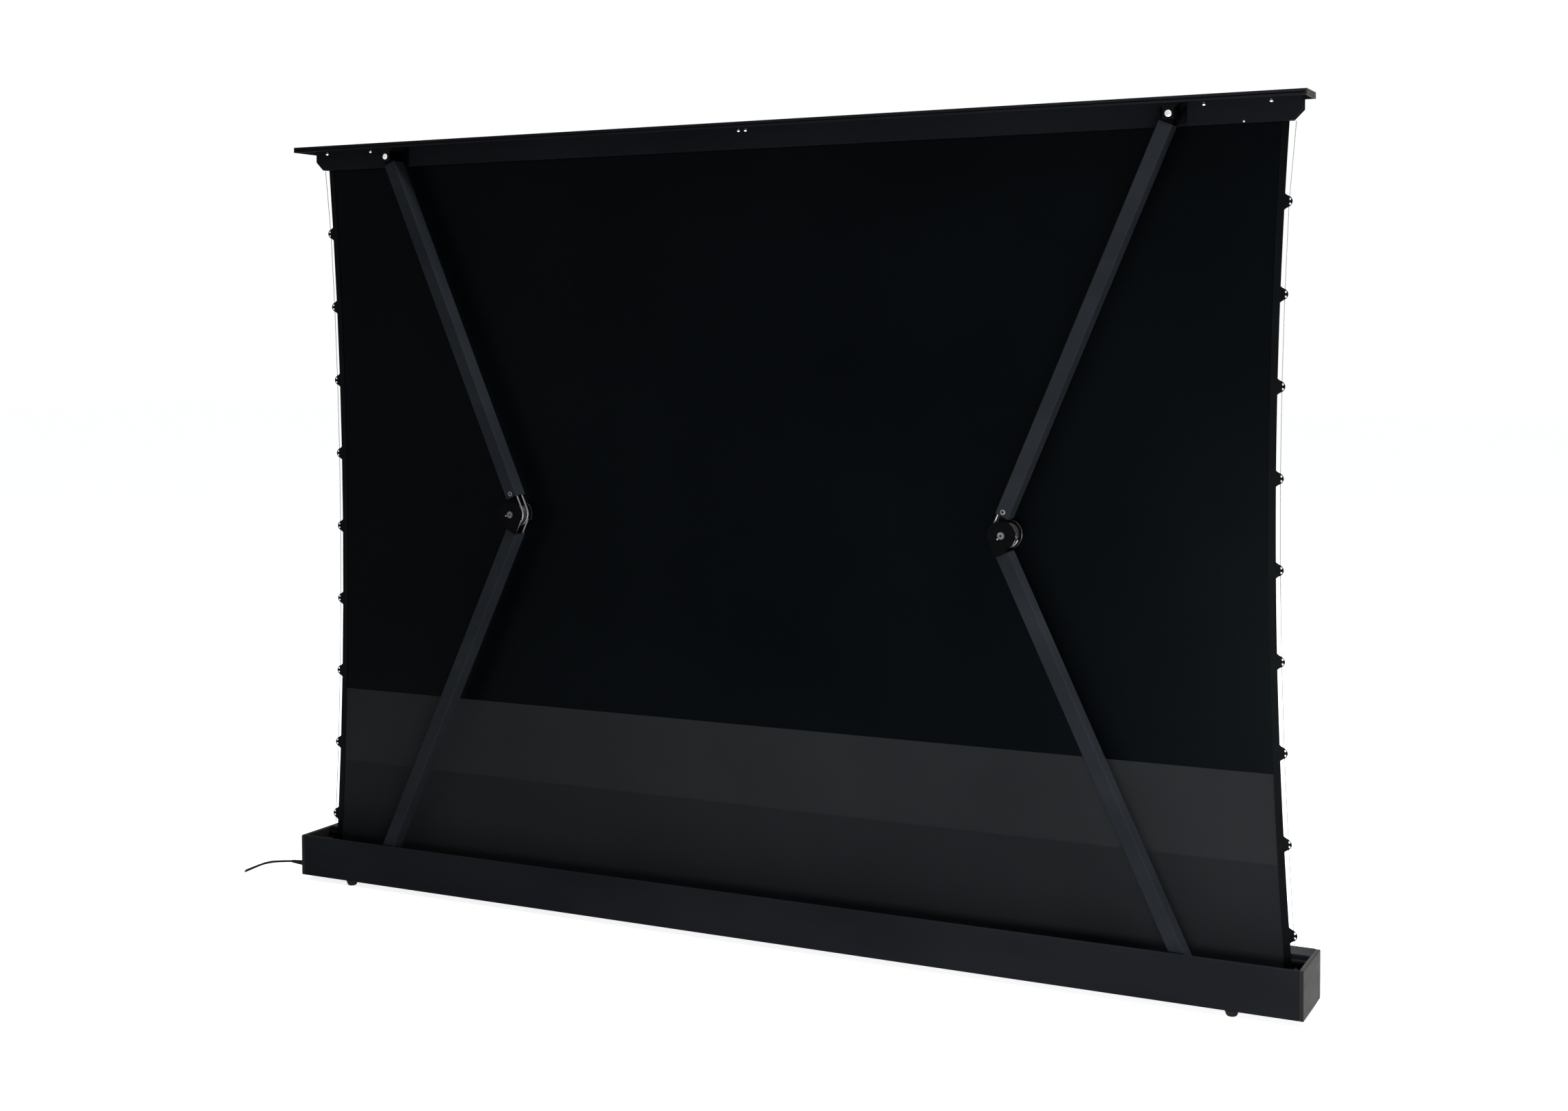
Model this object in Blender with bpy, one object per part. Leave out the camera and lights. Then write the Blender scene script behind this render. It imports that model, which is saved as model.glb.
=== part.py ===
"""Floor-rising projection screen, raised, as an assembly of separate pieces.

Metres, +Z up. The origin is on the floor under the middle of the case.
The audience sits on the -Y side; +X is on their right, where the motor and the mains lead are.
A depth is measured from the rear face of the case towards the audience, an inset from either
end of the case towards its middle, and a height from the underside of the case.
"""
import math

import bmesh
import bpy
from mathutils import Vector

# Fits
fit_gap = 0.0003
pin_clearance = 0.0004
open_pivot_clearance = 0.0022
lid_seat_gap = 0.0004
swing_gap = 0.0005

# Case
case_length = 2.440
case_depth = 0.158
case_height = 0.0986
case_wall = 0.0025
case_floor = 0.003
case_corner_radius = 0.004
lip_width = 0.007
lip_height = 0.006
end_cap_thickness = 0.009
end_cap_bevel = 0.0012
lip_radius = 0.0028
profile_radius = 0.0008
ledge_radius = 0.0025

# Roller cover, the ledge on the audience's side
ledge_depth = 0.056
cover_wall = 0.0025
step_drop = 0.010
rail_width = 0.010
rail_leg = 0.006
cover_leg = 0.010

# Feet
foot_height = 0.012
foot_radius = 0.014
foot_taper = 0.003
foot_inset = 0.142
foot_depth = 0.0165
foot_chamfer = 0.002

# Roller, fabric roll and motor
roller_height = 0.050
roller_radius = 0.025
roller_wall = 0.0015
roll_outer_radius = 0.0265
roll_depth = 0.088
roller_end_play = 0.005
motor_radius = 0.020
motor_length = 0.520
motor_head_radius = 0.0235
motor_shaft_radius = 0.007
motor_shaft_length = 0.020
stud_radius = 0.006
wheel_width = 0.014
plug_depth = 0.045
bracket_thickness = 0.003
bracket_width = 0.044
bracket_height = 0.070
bracket_corner_radius = 0.006

# Control box
box_length = 0.130
box_depth = 0.042
box_height = 0.034
box_inset = 0.022
box_bevel = 0.002

# Lid
lid_end_inset = 0.0015
lid_depth = 0.082
lid_thickness = 0.0124
lid_plate = 0.003
lid_rear_rib = 0.007
lid_front_rib = 0.0017
lid_ridge_step = 0.0016
lid_groove_depth = 0.0022
lid_groove_height = 0.0020
lid_lower_ridge = 0.0052
lid_cap_thickness = 0.003
lid_underside_raised = 1.7697

# Beam under the lid, which clamps the fabric
beam_depth_at = 0.061
beam_depth = 0.019
beam_drop = 0.0400
beam_wall = 0.002
beam_end_inset = 0.0215
beam_joint_inset = 0.271
beam_chamfer = 0.0200
slot_width = 0.0026
slot_depth_at = 0.076

# Arms
top_pivot_inset = 0.271
top_pivot_drop = 0.020
elbow_inset = 0.618
elbow_height = 0.909
elbow_offset = 0.0165
base_offset = 0.004
arm_rear_depth = 0.0145
arm_depth = 0.038
arm_width = 0.030
arm_wall = 0.002
arm_corner_radius = 0.0022
arm_inner_radius = 0.0006
cheek_thickness = 0.0035
pin_radius = 0.005
pin_head_radius = 0.0068
pin_head_height = 0.0024
pin_tail_height = 0.0024
knuckle_radius = 0.0145
elbow_reach = 0.036
end_reach = 0.018
plug_length = 0.050
disc_radius = 0.030
hub_radius = 0.0243
elbow_hex_width = 0.0125
elbow_washer_radius = 0.0078
elbow_washer_height = 0.0008
neck_start = 0.0305
neck_inner = 0.0038
neck_outer = 0.0205

# Elbow cables and the spring in each upper arm
cable_radius = 0.0022
upper_cable_spread = 0.020
lower_cable_spread = 0.0292
cable_run = 0.066
spring_radius = 0.010
spring_wire = 0.002
spring_length = 0.320

# Brackets of the arms
top_clevis_width = 0.054
top_clevis_low_width = 0.022
top_clevis_shoulder = 0.009
top_clevis_overhang = 0.011
base_clevis_width = 0.038
base_clevis_overhang = 0.015
clevis_base = 0.0035

# Fabric
fabric_thickness = 0.0006
fabric_inset_bottom = 0.039
fabric_inset_top = 0.050
fabric_waist = 0.030
sheet_split_height = 0.4545
strip_width = 0.014
strip_thickness = 0.0012
tab_reach = 0.0155
tab_height = 0.032
first_tab_height = 0.1395
last_tab_drop = 0.1550
cord_outset = 0.0085
tension_cord_radius = 0.0009
tension_cord_end = 0.013
tension_cord_tail = 0.006

# Mains lead
lead_diameter = 0.005
lead_step = 0.012
gland_depth = 0.020
gland_height = 0.0232
gland_length = 0.047
gland_flange_radius = 0.0115
gland_neck_radius = 0.0058
gland_tip_radius = 0.0034
gland_flare = 0.012
coil_radius = 0.0387
coil_gap = 0.0008
coil_layer_gap = 0.0006
coil_tail = 0.040
plug_body_length = 0.036
plug_body_width = 0.026
plug_body_height = 0.0155
plug_relief_length = 0.018
plug_relief_radius = 0.0042
plug_pin_length = 0.019
plug_pin_radius = 0.0024
plug_pin_spacing = 0.0186
plug_bevel = 0.003

# Route of the lead from the strain relief to the coil, x and y and z, chosen by hand
lead_route = [
    (1.2864, 0.0603, 0.0333),
    (1.3051, 0.0643, 0.0316),
    (1.3230, 0.0708, 0.0300),
    (1.3399, 0.0798, 0.0256),
    (1.3558, 0.0917, 0.0185),
    (1.3646, 0.0968, 0.0143),
    (1.3748, 0.0979, 0.0096),
    (1.3845, 0.0947, 0.0054),
    (1.3920, 0.0879, 0.0028),
    (1.3962, 0.0786, 0.0026),
    (1.3966, 0.0709, 0.0026),
    (1.3978, 0.0560, 0.0026),
    (1.3990, 0.0390, 0.0026),
    (1.3994, 0.0220, 0.0026),
    (1.3972, 0.0050, 0.0026),
    (1.3890, -0.0115, 0.0026),
    (1.3755, -0.0240, 0.0026),
    (1.3570, -0.0352, 0.0026),
    (1.3360, -0.0458, 0.0026),
    (1.3130, -0.0570, 0.0026),
    (1.2880, -0.0695, 0.0026),
    (1.2620, -0.0815, 0.0026),
    (1.2330, -0.0925, 0.0026),
    (1.2000, -0.1005, 0.0026),
    (1.1600, -0.1040, 0.0026),
]
coil_centre_x = 1.120
coil_centre_y = -0.1427

# Counts
round_sides = 32
small_round_sides = 20
foot_sides = 28
corner_steps = 5
edge_steps = 26
tab_count = 9
coil_turns_per_layer = 3
coil_points_per_turn = 24
lead_bevel_resolution = 2
coil_bevel_resolution = 1
cable_sides = 8
arc_steps = 20
bend_steps = 8
fillet_steps = 3
hex_sides = 6

# Worked-out places
half_length = case_length / 2
rear_y = case_depth / 2
front_y = -case_depth / 2
case_top = foot_height + case_height
arm_mid_depth = arm_rear_depth + arm_depth / 2
cap_inner = half_length - end_cap_thickness
seat_top_pivot_height = case_height + lid_seat_gap - top_pivot_drop
base_pivot_height = seat_top_pivot_height - 2 * elbow_offset - base_offset
top_pivot_height = lid_underside_raised - top_pivot_drop
roller_depth = roll_depth + roll_outer_radius
beam_height = beam_drop + lid_thickness - lid_plate - fit_gap
beam_bottom = lid_underside_raised - beam_drop


def arm_layout():
    """Lengths and raised slopes of the arms, and the inset of the base pivot.

    The base pivot is where the bar hangs at one inset both raised and lowered.
    """
    rise_upper = top_pivot_height - elbow_height
    run_upper = elbow_inset - top_pivot_inset
    link_upper = math.hypot(rise_upper, run_upper)
    reach_upper = math.sqrt(link_upper**2 - elbow_offset**2)
    rise_lower = elbow_height - base_pivot_height
    offset_lower = base_offset + elbow_offset
    far = top_pivot_inset + reach_upper
    base_inset = (far**2 - elbow_inset**2 - rise_lower**2 + offset_lower**2) / (
        2 * (far - elbow_inset)
    )
    run_lower = elbow_inset - base_inset
    link_lower = math.hypot(rise_lower, run_lower)
    reach_lower = math.sqrt(link_lower**2 - offset_lower**2)
    slope_upper = math.atan2(rise_upper, run_upper) - math.atan2(
        elbow_offset, reach_upper
    )
    slope_lower = math.atan2(rise_lower, run_lower) - math.atan2(
        offset_lower, reach_lower
    )
    return base_inset, reach_lower, reach_upper, slope_lower, slope_upper


base_pivot_inset, lower_reach, upper_reach, lower_slope, upper_slope = arm_layout()


def at_inset(side, inset):
    return side * (half_length - inset)


def at_depth(depth):
    return rear_y - depth


def at_height(height):
    return foot_height + height


# Scene, materials and mesh helpers
def clear_scene():
    for item in list(bpy.data.objects):
        bpy.data.objects.remove(item, do_unlink=True)


def material(name, colour, roughness, metallic=0.0):
    made = bpy.data.materials.new(name)
    made.use_nodes = True
    shader = made.node_tree.nodes["Principled BSDF"]
    shader.inputs["Base Color"].default_value = (*colour, 1.0)
    shader.inputs["Roughness"].default_value = roughness
    shader.inputs["Metallic"].default_value = metallic
    return made


def slate():
    return material("slate_paint", (0.035, 0.040, 0.050), 0.42, 0.3)


def black_plastic():
    return material("black_plastic", (0.012, 0.012, 0.013), 0.5)


def black_casting():
    return material("black_casting", (0.014, 0.015, 0.016), 0.45, 0.5)


def steel():
    return material("steel", (0.62, 0.63, 0.65), 0.3, 1.0)


def zinc():
    return material("zinc", (0.45, 0.46, 0.48), 0.4, 1.0)


def rubber():
    return material("rubber", (0.015, 0.015, 0.016), 0.8)


def fabric(name, colour, roughness):
    return material(name, colour, roughness)


def add_object(name, data, made_of, parent=None):
    item = bpy.data.objects.new(name, data)
    bpy.context.scene.collection.objects.link(item)
    data.materials.append(made_of)
    item.parent = parent
    return item


def finish_mesh(name, mesh, made_of, parent=None):
    """Object from a bmesh, its faces pointing out and its round sides smooth."""
    bmesh.ops.recalc_face_normals(mesh, faces=mesh.faces)
    data = bpy.data.meshes.new(name)
    mesh.to_mesh(data)
    mesh.free()
    data.shade_smooth()
    data.set_sharp_from_angle(angle=math.radians(30))
    return add_object(name, data, made_of, parent)


def pivot(name, location, turn):
    """Empty on a joint's axis, turned about Y."""
    empty = bpy.data.objects.new(name, None)
    bpy.context.scene.collection.objects.link(empty)
    empty.location = location
    empty.rotation_euler = (0, turn, 0)
    return empty


def prism(outline, start, end, place):
    """Bmesh of an outline pushed from start to end; place(a, b, c) gives the corner's point."""
    mesh = bmesh.new()
    near = [mesh.verts.new(place(a, b, start)) for a, b in outline]
    far = [mesh.verts.new(place(a, b, end)) for a, b in outline]
    mesh.faces.new(near)
    mesh.faces.new(far[::-1])
    count = len(outline)
    for i in range(count):
        j = (i + 1) % count
        mesh.faces.new((near[i], near[j], far[j], far[i]))
    return mesh


def along_x(y, z, x):
    return (x, y, z)


def along_y(x, z, y):
    return (x, y, z)


def tube_prism(outer, inner, start, end, place):
    """Bmesh of a hollow section, open at both ends; outer and inner have as many points."""
    mesh = bmesh.new()
    rings = []
    for outline in (outer, inner):
        near = [mesh.verts.new(place(a, b, start)) for a, b in outline]
        far = [mesh.verts.new(place(a, b, end)) for a, b in outline]
        rings.append((near, far))
    (outer_near, outer_far), (inner_near, inner_far) = rings
    count = len(outer)
    for i in range(count):
        j = (i + 1) % count
        mesh.faces.new((outer_near[i], outer_near[j], outer_far[j], outer_far[i]))
        mesh.faces.new((inner_near[j], inner_near[i], inner_far[i], inner_far[j]))
        mesh.faces.new((outer_near[j], outer_near[i], inner_near[i], inner_near[j]))
        mesh.faces.new((outer_far[i], outer_far[j], inner_far[j], inner_far[i]))
    return mesh


def lathe(profile, sides, place):
    """Bmesh turned from (along, radius) points; a radius of zero closes an end.

    A profile that starts and ends away from the axis is closed on itself, as a ring.
    """
    mesh = bmesh.new()
    rings = []
    for along, radius in profile:
        if radius == 0:
            rings.append([mesh.verts.new(place(0, 0, along))])
            continue
        ring = []
        for i in range(sides):
            angle = 2 * math.pi * i / sides
            ring.append(
                mesh.verts.new(
                    place(radius * math.cos(angle), radius * math.sin(angle), along)
                )
            )
        rings.append(ring)
    pairs = list(zip(rings, rings[1:]))
    if profile[0][1] != 0:
        pairs.append((rings[-1], rings[0]))
    for first, second in pairs:
        for i in range(sides):
            j = (i + 1) % sides
            if len(first) == 1:
                mesh.faces.new((first[0], second[j], second[i]))
            elif len(second) == 1:
                mesh.faces.new((first[i], first[j], second[0]))
            else:
                mesh.faces.new((first[i], first[j], second[j], second[i]))
    return mesh


def circle(centre_a, centre_b, radius, sides=round_sides):
    return [
        (
            centre_a + radius * math.cos(2 * math.pi * i / sides),
            centre_b + radius * math.sin(2 * math.pi * i / sides),
        )
        for i in range(sides)
    ]


def rounded_rectangle(low_a, low_b, high_a, high_b, radius):
    """Outline of a rectangle with round corners."""
    corners = [
        (high_a - radius, low_b + radius, -90),
        (high_a - radius, high_b - radius, 0),
        (low_a + radius, high_b - radius, 90),
        (low_a + radius, low_b + radius, 180),
    ]
    points = []
    for a, b, start in corners:
        for step in range(corner_steps + 1):
            angle = math.radians(start + 90 * step / corner_steps)
            points.append((a + radius * math.cos(angle), b + radius * math.sin(angle)))
    return points


def rounded(outline, radius):
    """Outline with its corners rounded; a corner gets less where its sides are short.

    A point of the outline may carry a radius of its own as a third number.
    """
    side_share = 0.45
    flat_angle = math.radians(88)
    points = []
    count = len(outline)
    for i, corner in enumerate(outline):
        here = Vector(corner[:2])
        wanted = corner[2] if len(corner) == 3 else radius
        back = Vector(outline[i - 1][:2]) - here
        ahead = Vector(outline[(i + 1) % count][:2]) - here
        half_angle = back.angle(ahead) / 2
        if half_angle > flat_angle:
            points.append(tuple(here))
            continue
        limit = side_share * min(back.length, ahead.length)
        reach = min(wanted / math.tan(half_angle), limit)
        size = reach * math.tan(half_angle)
        middle = (back.normalized() + ahead.normalized()).normalized()
        centre = here + middle * (size / math.sin(half_angle))
        start = here + back.normalized() * reach - centre
        end = here + ahead.normalized() * reach - centre
        for step in range(fillet_steps + 1):
            share = step / fillet_steps
            spoke = start.lerp(end, share).normalized() * size
            points.append(tuple(centre + spoke))
    return points


def rectangle(low_a, low_b, high_a, high_b):
    return [(low_a, low_b), (high_a, low_b), (high_a, high_b), (low_a, high_b)]


def sweep(path, radius, sides):
    """Bmesh of a round wire along a path, with flat ends."""
    mesh = bmesh.new()
    points = [Vector(p) for p in path]
    rings = []
    side = None
    for i, point in enumerate(points):
        before = points[max(i - 1, 0)]
        after = points[min(i + 1, len(points) - 1)]
        ahead = (after - before).normalized()
        if side is None:
            side = ahead.orthogonal().normalized()
        side = (side - ahead * side.dot(ahead)).normalized()
        across = ahead.cross(side)
        ring = []
        for k in range(sides):
            angle = 2 * math.pi * k / sides
            offset = side * math.cos(angle) + across * math.sin(angle)
            ring.append(mesh.verts.new(point + offset * radius))
        rings.append(ring)
    for first, second in zip(rings, rings[1:]):
        for k in range(sides):
            m = (k + 1) % sides
            mesh.faces.new((first[k], first[m], second[m], second[k]))
    mesh.faces.new(rings[0])
    mesh.faces.new(rings[-1][::-1])
    return mesh


def tool(name, mesh, parent=None):
    """Hidden solid that cuts or joins another."""
    item = finish_mesh(name, mesh, zinc(), parent)
    item.hide_render = True
    item.display_type = "WIRE"
    return item


def boolean(item, other, operation):
    step = item.modifiers.new(other.name, "BOOLEAN")
    step.operation = operation
    step.solver = "EXACT"
    step.object = other


def bevel(item, width, segments):
    step = item.modifiers.new("edge", "BEVEL")
    step.width = width
    step.segments = segments
    step.limit_method = "ANGLE"
    step.angle_limit = math.radians(40)


def wire_curve(name, points, radius, resolution, made_of):
    """Round cord along a list of points, with filled ends."""
    data = bpy.data.curves.new(name, "CURVE")
    data.dimensions = "3D"
    data.bevel_depth = radius
    data.bevel_resolution = resolution
    data.use_fill_caps = True
    spline = data.splines.new("POLY")
    spline.points.add(len(points) - 1)
    for target, point in zip(spline.points, points):
        target.co = (*point, 1)
    spline.use_smooth = True
    return add_object(name, data, made_of)


# Case
def build_case():
    build_case_profile()
    build_roller_cover()
    for side_name, side in (("left", -1), ("right", 1)):
        build_end_cap(f"end_cap_{side_name}", side)
        for place_name, depth in (
            ("rear", foot_depth),
            ("front", case_depth - foot_depth),
        ):
            build_foot(f"foot_{place_name}_{side_name}", side, depth)


def build_case_profile():
    """Trough with a floor, a rear wall with a thick lip and a front wall."""
    inner_rear = rear_y - case_wall
    inner_front = front_y + case_wall
    lip_slant = lip_width - case_wall
    floor_top = foot_height + case_floor
    outline = [
        (rear_y, case_top, lip_radius),
        (rear_y - lip_width, case_top, lip_radius),
        (rear_y - lip_width, case_top - lip_height),
        (inner_rear, case_top - lip_height - lip_slant),
        (inner_rear, floor_top),
        (inner_front, floor_top),
        (inner_front, case_top - cover_wall - fit_gap),
        (front_y, case_top - cover_wall - fit_gap),
        (front_y, foot_height, case_corner_radius),
        (rear_y, foot_height, case_corner_radius),
    ]
    end = cap_inner - fit_gap
    mesh = prism(rounded(outline, profile_radius), -end, end, along_x)
    finish_mesh("case_profile", mesh, slate())


def build_roller_cover():
    """Ledge over the roller, with a lower rail behind it and a leg inside the front wall."""
    ledge_y = front_y + ledge_depth
    rail_y = ledge_y + rail_width
    leg_y = front_y + case_wall + fit_gap
    rail_top = case_top - step_drop
    under = case_top - cover_wall
    outline = [
        (front_y, case_top, ledge_radius),
        (ledge_y, case_top, ledge_radius),
        (ledge_y, rail_top),
        (rail_y, rail_top),
        (rail_y, rail_top - rail_leg),
        (rail_y - cover_wall, rail_top - rail_leg),
        (rail_y - cover_wall, rail_top - cover_wall),
        (ledge_y - cover_wall, rail_top - cover_wall),
        (ledge_y - cover_wall, under),
        (leg_y + cover_wall, under),
        (leg_y + cover_wall, under - cover_leg),
        (leg_y, under - cover_leg),
        (leg_y, under),
        (front_y, under),
    ]
    end = cap_inner - fit_gap
    mesh = prism(rounded(outline, profile_radius), -end, end, along_x)
    finish_mesh("roller_cover", mesh, slate())


def build_end_cap(name, side):
    outline = rounded_rectangle(
        front_y, foot_height, rear_y, case_top, case_corner_radius
    )
    mesh = prism(outline, side * cap_inner, side * half_length, along_x)
    item = finish_mesh(name, mesh, black_plastic())
    bevel(item, end_cap_bevel, 2)


def build_foot(name, side, depth):
    x = at_inset(side, foot_inset)
    y = at_depth(depth)
    bottom_radius = foot_radius - foot_taper
    profile = [
        (0, 0),
        (0, bottom_radius - foot_chamfer),
        (foot_chamfer, bottom_radius),
        (foot_height - foot_chamfer, foot_radius),
        (foot_height - fit_gap, foot_radius),
        (foot_height - fit_gap, 0),
    ]
    mesh = lathe(profile, foot_sides, lambda a, b, z: (x + a, y + b, z))
    finish_mesh(name, mesh, rubber())


# Roller
def about_roller(a, b, x):
    return (x, at_depth(roller_depth) + a, at_height(roller_height) + b)


def bracket_face():
    """Inner face of the plates that carry the roller, measured from the middle."""
    return cap_inner - fit_gap - bracket_thickness


def roller_end():
    return half_length - fabric_inset_bottom + roller_end_play


def build_roller():
    inner = roller_radius - roller_wall
    end = roller_end()
    profile = [
        (-end, inner),
        (-end, roller_radius),
        (end, roller_radius),
        (end, inner),
    ]
    finish_mesh("roller_tube", lathe(profile, round_sides, about_roller), zinc())
    wrap = half_length - fabric_inset_bottom
    wrap_inner = roller_radius + fit_gap
    profile = [
        (-wrap, wrap_inner),
        (-wrap, roll_outer_radius),
        (wrap, roll_outer_radius),
        (wrap, wrap_inner),
    ]
    cloth = fabric("rolled_fabric", (0.02, 0.022, 0.023), 0.6)
    finish_mesh("fabric_roll", lathe(profile, round_sides, about_roller), cloth)
    build_bracket("idle_bracket", -1)
    build_bracket("motor_bracket", 1)
    build_idle_plug()
    build_motor()


def build_bracket(name, side):
    """Plate on the end cap, with a hole for the stud or pin of the roller."""
    centre_y = at_depth(roller_depth)
    centre_z = at_height(roller_height)
    half_width = bracket_width / 2
    low_z = foot_height + case_floor + fit_gap
    outline = rounded_rectangle(
        centre_y - half_width,
        low_z,
        centre_y + half_width,
        low_z + bracket_height,
        bracket_corner_radius,
    )
    mesh = prism(
        outline, side * bracket_face(), side * (cap_inner - fit_gap), along_x
    )
    item = finish_mesh(name, mesh, zinc())
    hole = circle(centre_y, centre_z, stud_radius + pin_clearance, small_round_sides)
    cutter_mesh = prism(
        hole, side * (bracket_face() - bracket_thickness), side * half_length, along_x
    )
    boolean(item, tool(f"{name}_hole", cutter_mesh), "DIFFERENCE")


def build_idle_plug():
    """Plug in the tube's idle end, with a flange and the pin that turns in the bracket."""
    end = roller_end()
    inner = roller_radius - roller_wall - fit_gap
    flange = bracket_face() - swing_gap
    profile = [
        (-end + plug_depth, 0),
        (-end + plug_depth, inner),
        (-end - fit_gap, inner),
        (-end - fit_gap, roller_radius),
        (-flange, roller_radius),
        (-flange, stud_radius),
        (-cap_inner + fit_gap, stud_radius),
        (-cap_inner + fit_gap, 0),
    ]
    mesh = lathe(profile, small_round_sides, about_roller)
    finish_mesh("idle_plug", mesh, black_plastic())


def build_motor():
    """Tubular motor: head outside the tube, body inside it, shaft in the drive wheel."""
    end = roller_end()
    head = end + swing_gap
    body_end = end - motor_length
    shaft_end = body_end - motor_shaft_length
    profile = [
        (shaft_end, 0),
        (shaft_end, motor_shaft_radius),
        (body_end, motor_shaft_radius),
        (body_end, motor_radius),
        (head, motor_radius),
        (head, motor_head_radius),
        (bracket_face() - fit_gap, motor_head_radius),
        (bracket_face() - fit_gap, stud_radius),
        (cap_inner - fit_gap, stud_radius),
        (cap_inner - fit_gap, 0),
    ]
    mesh = lathe(profile, small_round_sides, about_roller)
    finish_mesh("tubular_motor", mesh, zinc())
    wheel_start = body_end - swing_gap - wheel_width
    wheel_end = body_end - swing_gap
    inner = motor_shaft_radius + pin_clearance
    outer = roller_radius - roller_wall - fit_gap
    profile = [
        (wheel_start, inner),
        (wheel_start, outer),
        (wheel_end, outer),
        (wheel_end, inner),
    ]
    mesh = lathe(profile, small_round_sides, about_roller)
    finish_mesh("drive_wheel", mesh, black_plastic())


def build_control_box():
    """Receiver and motor control, on the floor of the case at the motor end."""
    high_x = half_length - box_inset
    low_y = at_depth(arm_rear_depth + box_depth)
    low_z = foot_height + case_floor + fit_gap
    outline = rectangle(
        low_y, low_z, low_y + box_depth, low_z + box_height
    )
    mesh = prism(outline, high_x - box_length, high_x, along_x)
    item = finish_mesh("control_box", mesh, black_plastic())
    bevel(item, box_bevel, 2)


# Top bar
def lid_section():
    """Rear edge with two ridges and a groove between them, a top plate and a front rib."""
    low = at_height(lid_underside_raised)
    high = low + lid_thickness
    under = high - lid_plate
    lower_y = rear_y - lid_ridge_step
    groove_y = lower_y - lid_groove_depth
    groove_low = low + lid_lower_ridge
    front = rear_y - lid_depth
    return [
        (rear_y, high),
        (front, high),
        (front, low),
        (front + lid_front_rib, low),
        (front + lid_front_rib, under),
        (rear_y - lid_rear_rib, under),
        (rear_y - lid_rear_rib, low),
        (lower_y, low),
        (lower_y, groove_low),
        (groove_y, groove_low),
        (groove_y, groove_low + lid_groove_height),
        (rear_y, groove_low + lid_groove_height),
    ]


def build_lid():
    end = half_length - lid_end_inset
    inner = end - lid_cap_thickness - fit_gap
    section = rounded(lid_section(), profile_radius)
    finish_mesh("lid_profile", prism(section, -inner, inner, along_x), slate())
    low = at_height(lid_underside_raised)
    front = rear_y - lid_depth
    for side_name, side in (("left", -1), ("right", 1)):
        outline = rectangle(
            front, low, rear_y - lid_ridge_step, low + lid_thickness
        )
        mesh = prism(
            outline, side * (end - lid_cap_thickness), side * end, along_x
        )
        finish_mesh(f"lid_cap_{side_name}", mesh, black_plastic())


def beam_section():
    """Box with a slot in its underside, where the fabric's hem goes in."""
    rear = at_depth(beam_depth_at)
    front = rear - beam_depth
    low = at_height(beam_bottom)
    high = low + beam_height
    slot_rear = at_depth(slot_depth_at) + slot_width / 2
    slot_front = at_depth(slot_depth_at) - slot_width / 2
    return [
        (rear, high),
        (rear, low),
        (slot_rear, low),
        (slot_rear, low + beam_wall),
        (rear - beam_wall, low + beam_wall),
        (rear - beam_wall, high - beam_wall),
        (front + beam_wall, high - beam_wall),
        (front + beam_wall, low + beam_wall),
        (slot_front, low + beam_wall),
        (slot_front, low),
        (front, low),
        (front, high),
    ]


def build_beams():
    inner_end = half_length - beam_joint_inset - fit_gap
    section = rounded(beam_section(), profile_radius)
    mesh = prism(section, -inner_end, inner_end, along_x)
    finish_mesh("beam_middle", mesh, slate())
    for side_name, side in (("left", -1), ("right", 1)):
        outer = at_inset(side, beam_end_inset)
        inner = at_inset(side, beam_joint_inset)
        item = finish_mesh(
            f"beam_{side_name}", prism(section, outer, inner, along_x), slate()
        )
        low = at_height(beam_bottom)
        wedge = [
            (outer + side * beam_wall, low - beam_wall),
            (outer - side * (beam_chamfer + beam_wall), low - beam_wall),
            (outer + side * beam_wall, low + beam_chamfer + beam_wall),
        ]
        cutter_mesh = prism(
            wedge, at_depth(beam_depth_at - beam_wall), at_depth(lid_depth), along_y
        )
        boolean(item, tool(f"beam_{side_name}_corner", cutter_mesh), "DIFFERENCE")


# Arms
def cheek_span():
    """Depths of the two cheeks' outer and inner faces, rear first."""
    rear_inner = arm_rear_depth - 2 * swing_gap
    front_inner = arm_rear_depth + arm_depth + 2 * swing_gap
    return (
        rear_inner - cheek_thickness,
        rear_inner,
        front_inner,
        front_inner + cheek_thickness,
    )


def build_top_bracket(name, side):
    """Clevis under the lid: a web and two cheeks that narrow down to the top pin's hole."""
    rear_out, rear_in, front_in, front_out = cheek_span()
    high = at_height(lid_underside_raised + lid_thickness - lid_plate) - fit_gap
    web = high - clevis_base
    pivot_z = at_height(top_pivot_height)
    low = pivot_z - top_clevis_overhang
    outline = [
        (at_depth(rear_out), high),
        (at_depth(front_out), high),
        (at_depth(front_out), low),
        (at_depth(front_in), low),
        (at_depth(front_in), web),
        (at_depth(rear_in), web),
        (at_depth(rear_in), low),
        (at_depth(rear_out), low),
    ]
    centre = at_inset(side, top_pivot_inset)
    half = top_clevis_width / 2
    low_half = top_clevis_low_width / 2
    item = finish_mesh(
        name,
        prism(rounded(outline, profile_radius), centre - half, centre + half, along_x),
        black_casting(),
    )
    shoulder = pivot_z + top_clevis_shoulder
    taper = [
        (centre - half, high + fit_gap),
        (centre - half, web),
        (centre - low_half, shoulder),
        (centre - low_half, low - fit_gap),
        (centre + low_half, low - fit_gap),
        (centre + low_half, shoulder),
        (centre + half, web),
        (centre + half, high + fit_gap),
    ]
    taper_mesh = prism(taper, at_depth(rear_out - cheek_thickness), at_depth(lid_depth), along_y)
    boolean(item, tool(f"{name}_taper", taper_mesh), "INTERSECT")
    cut_bore(item, name, centre, pivot_z, pin_clearance)


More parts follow.
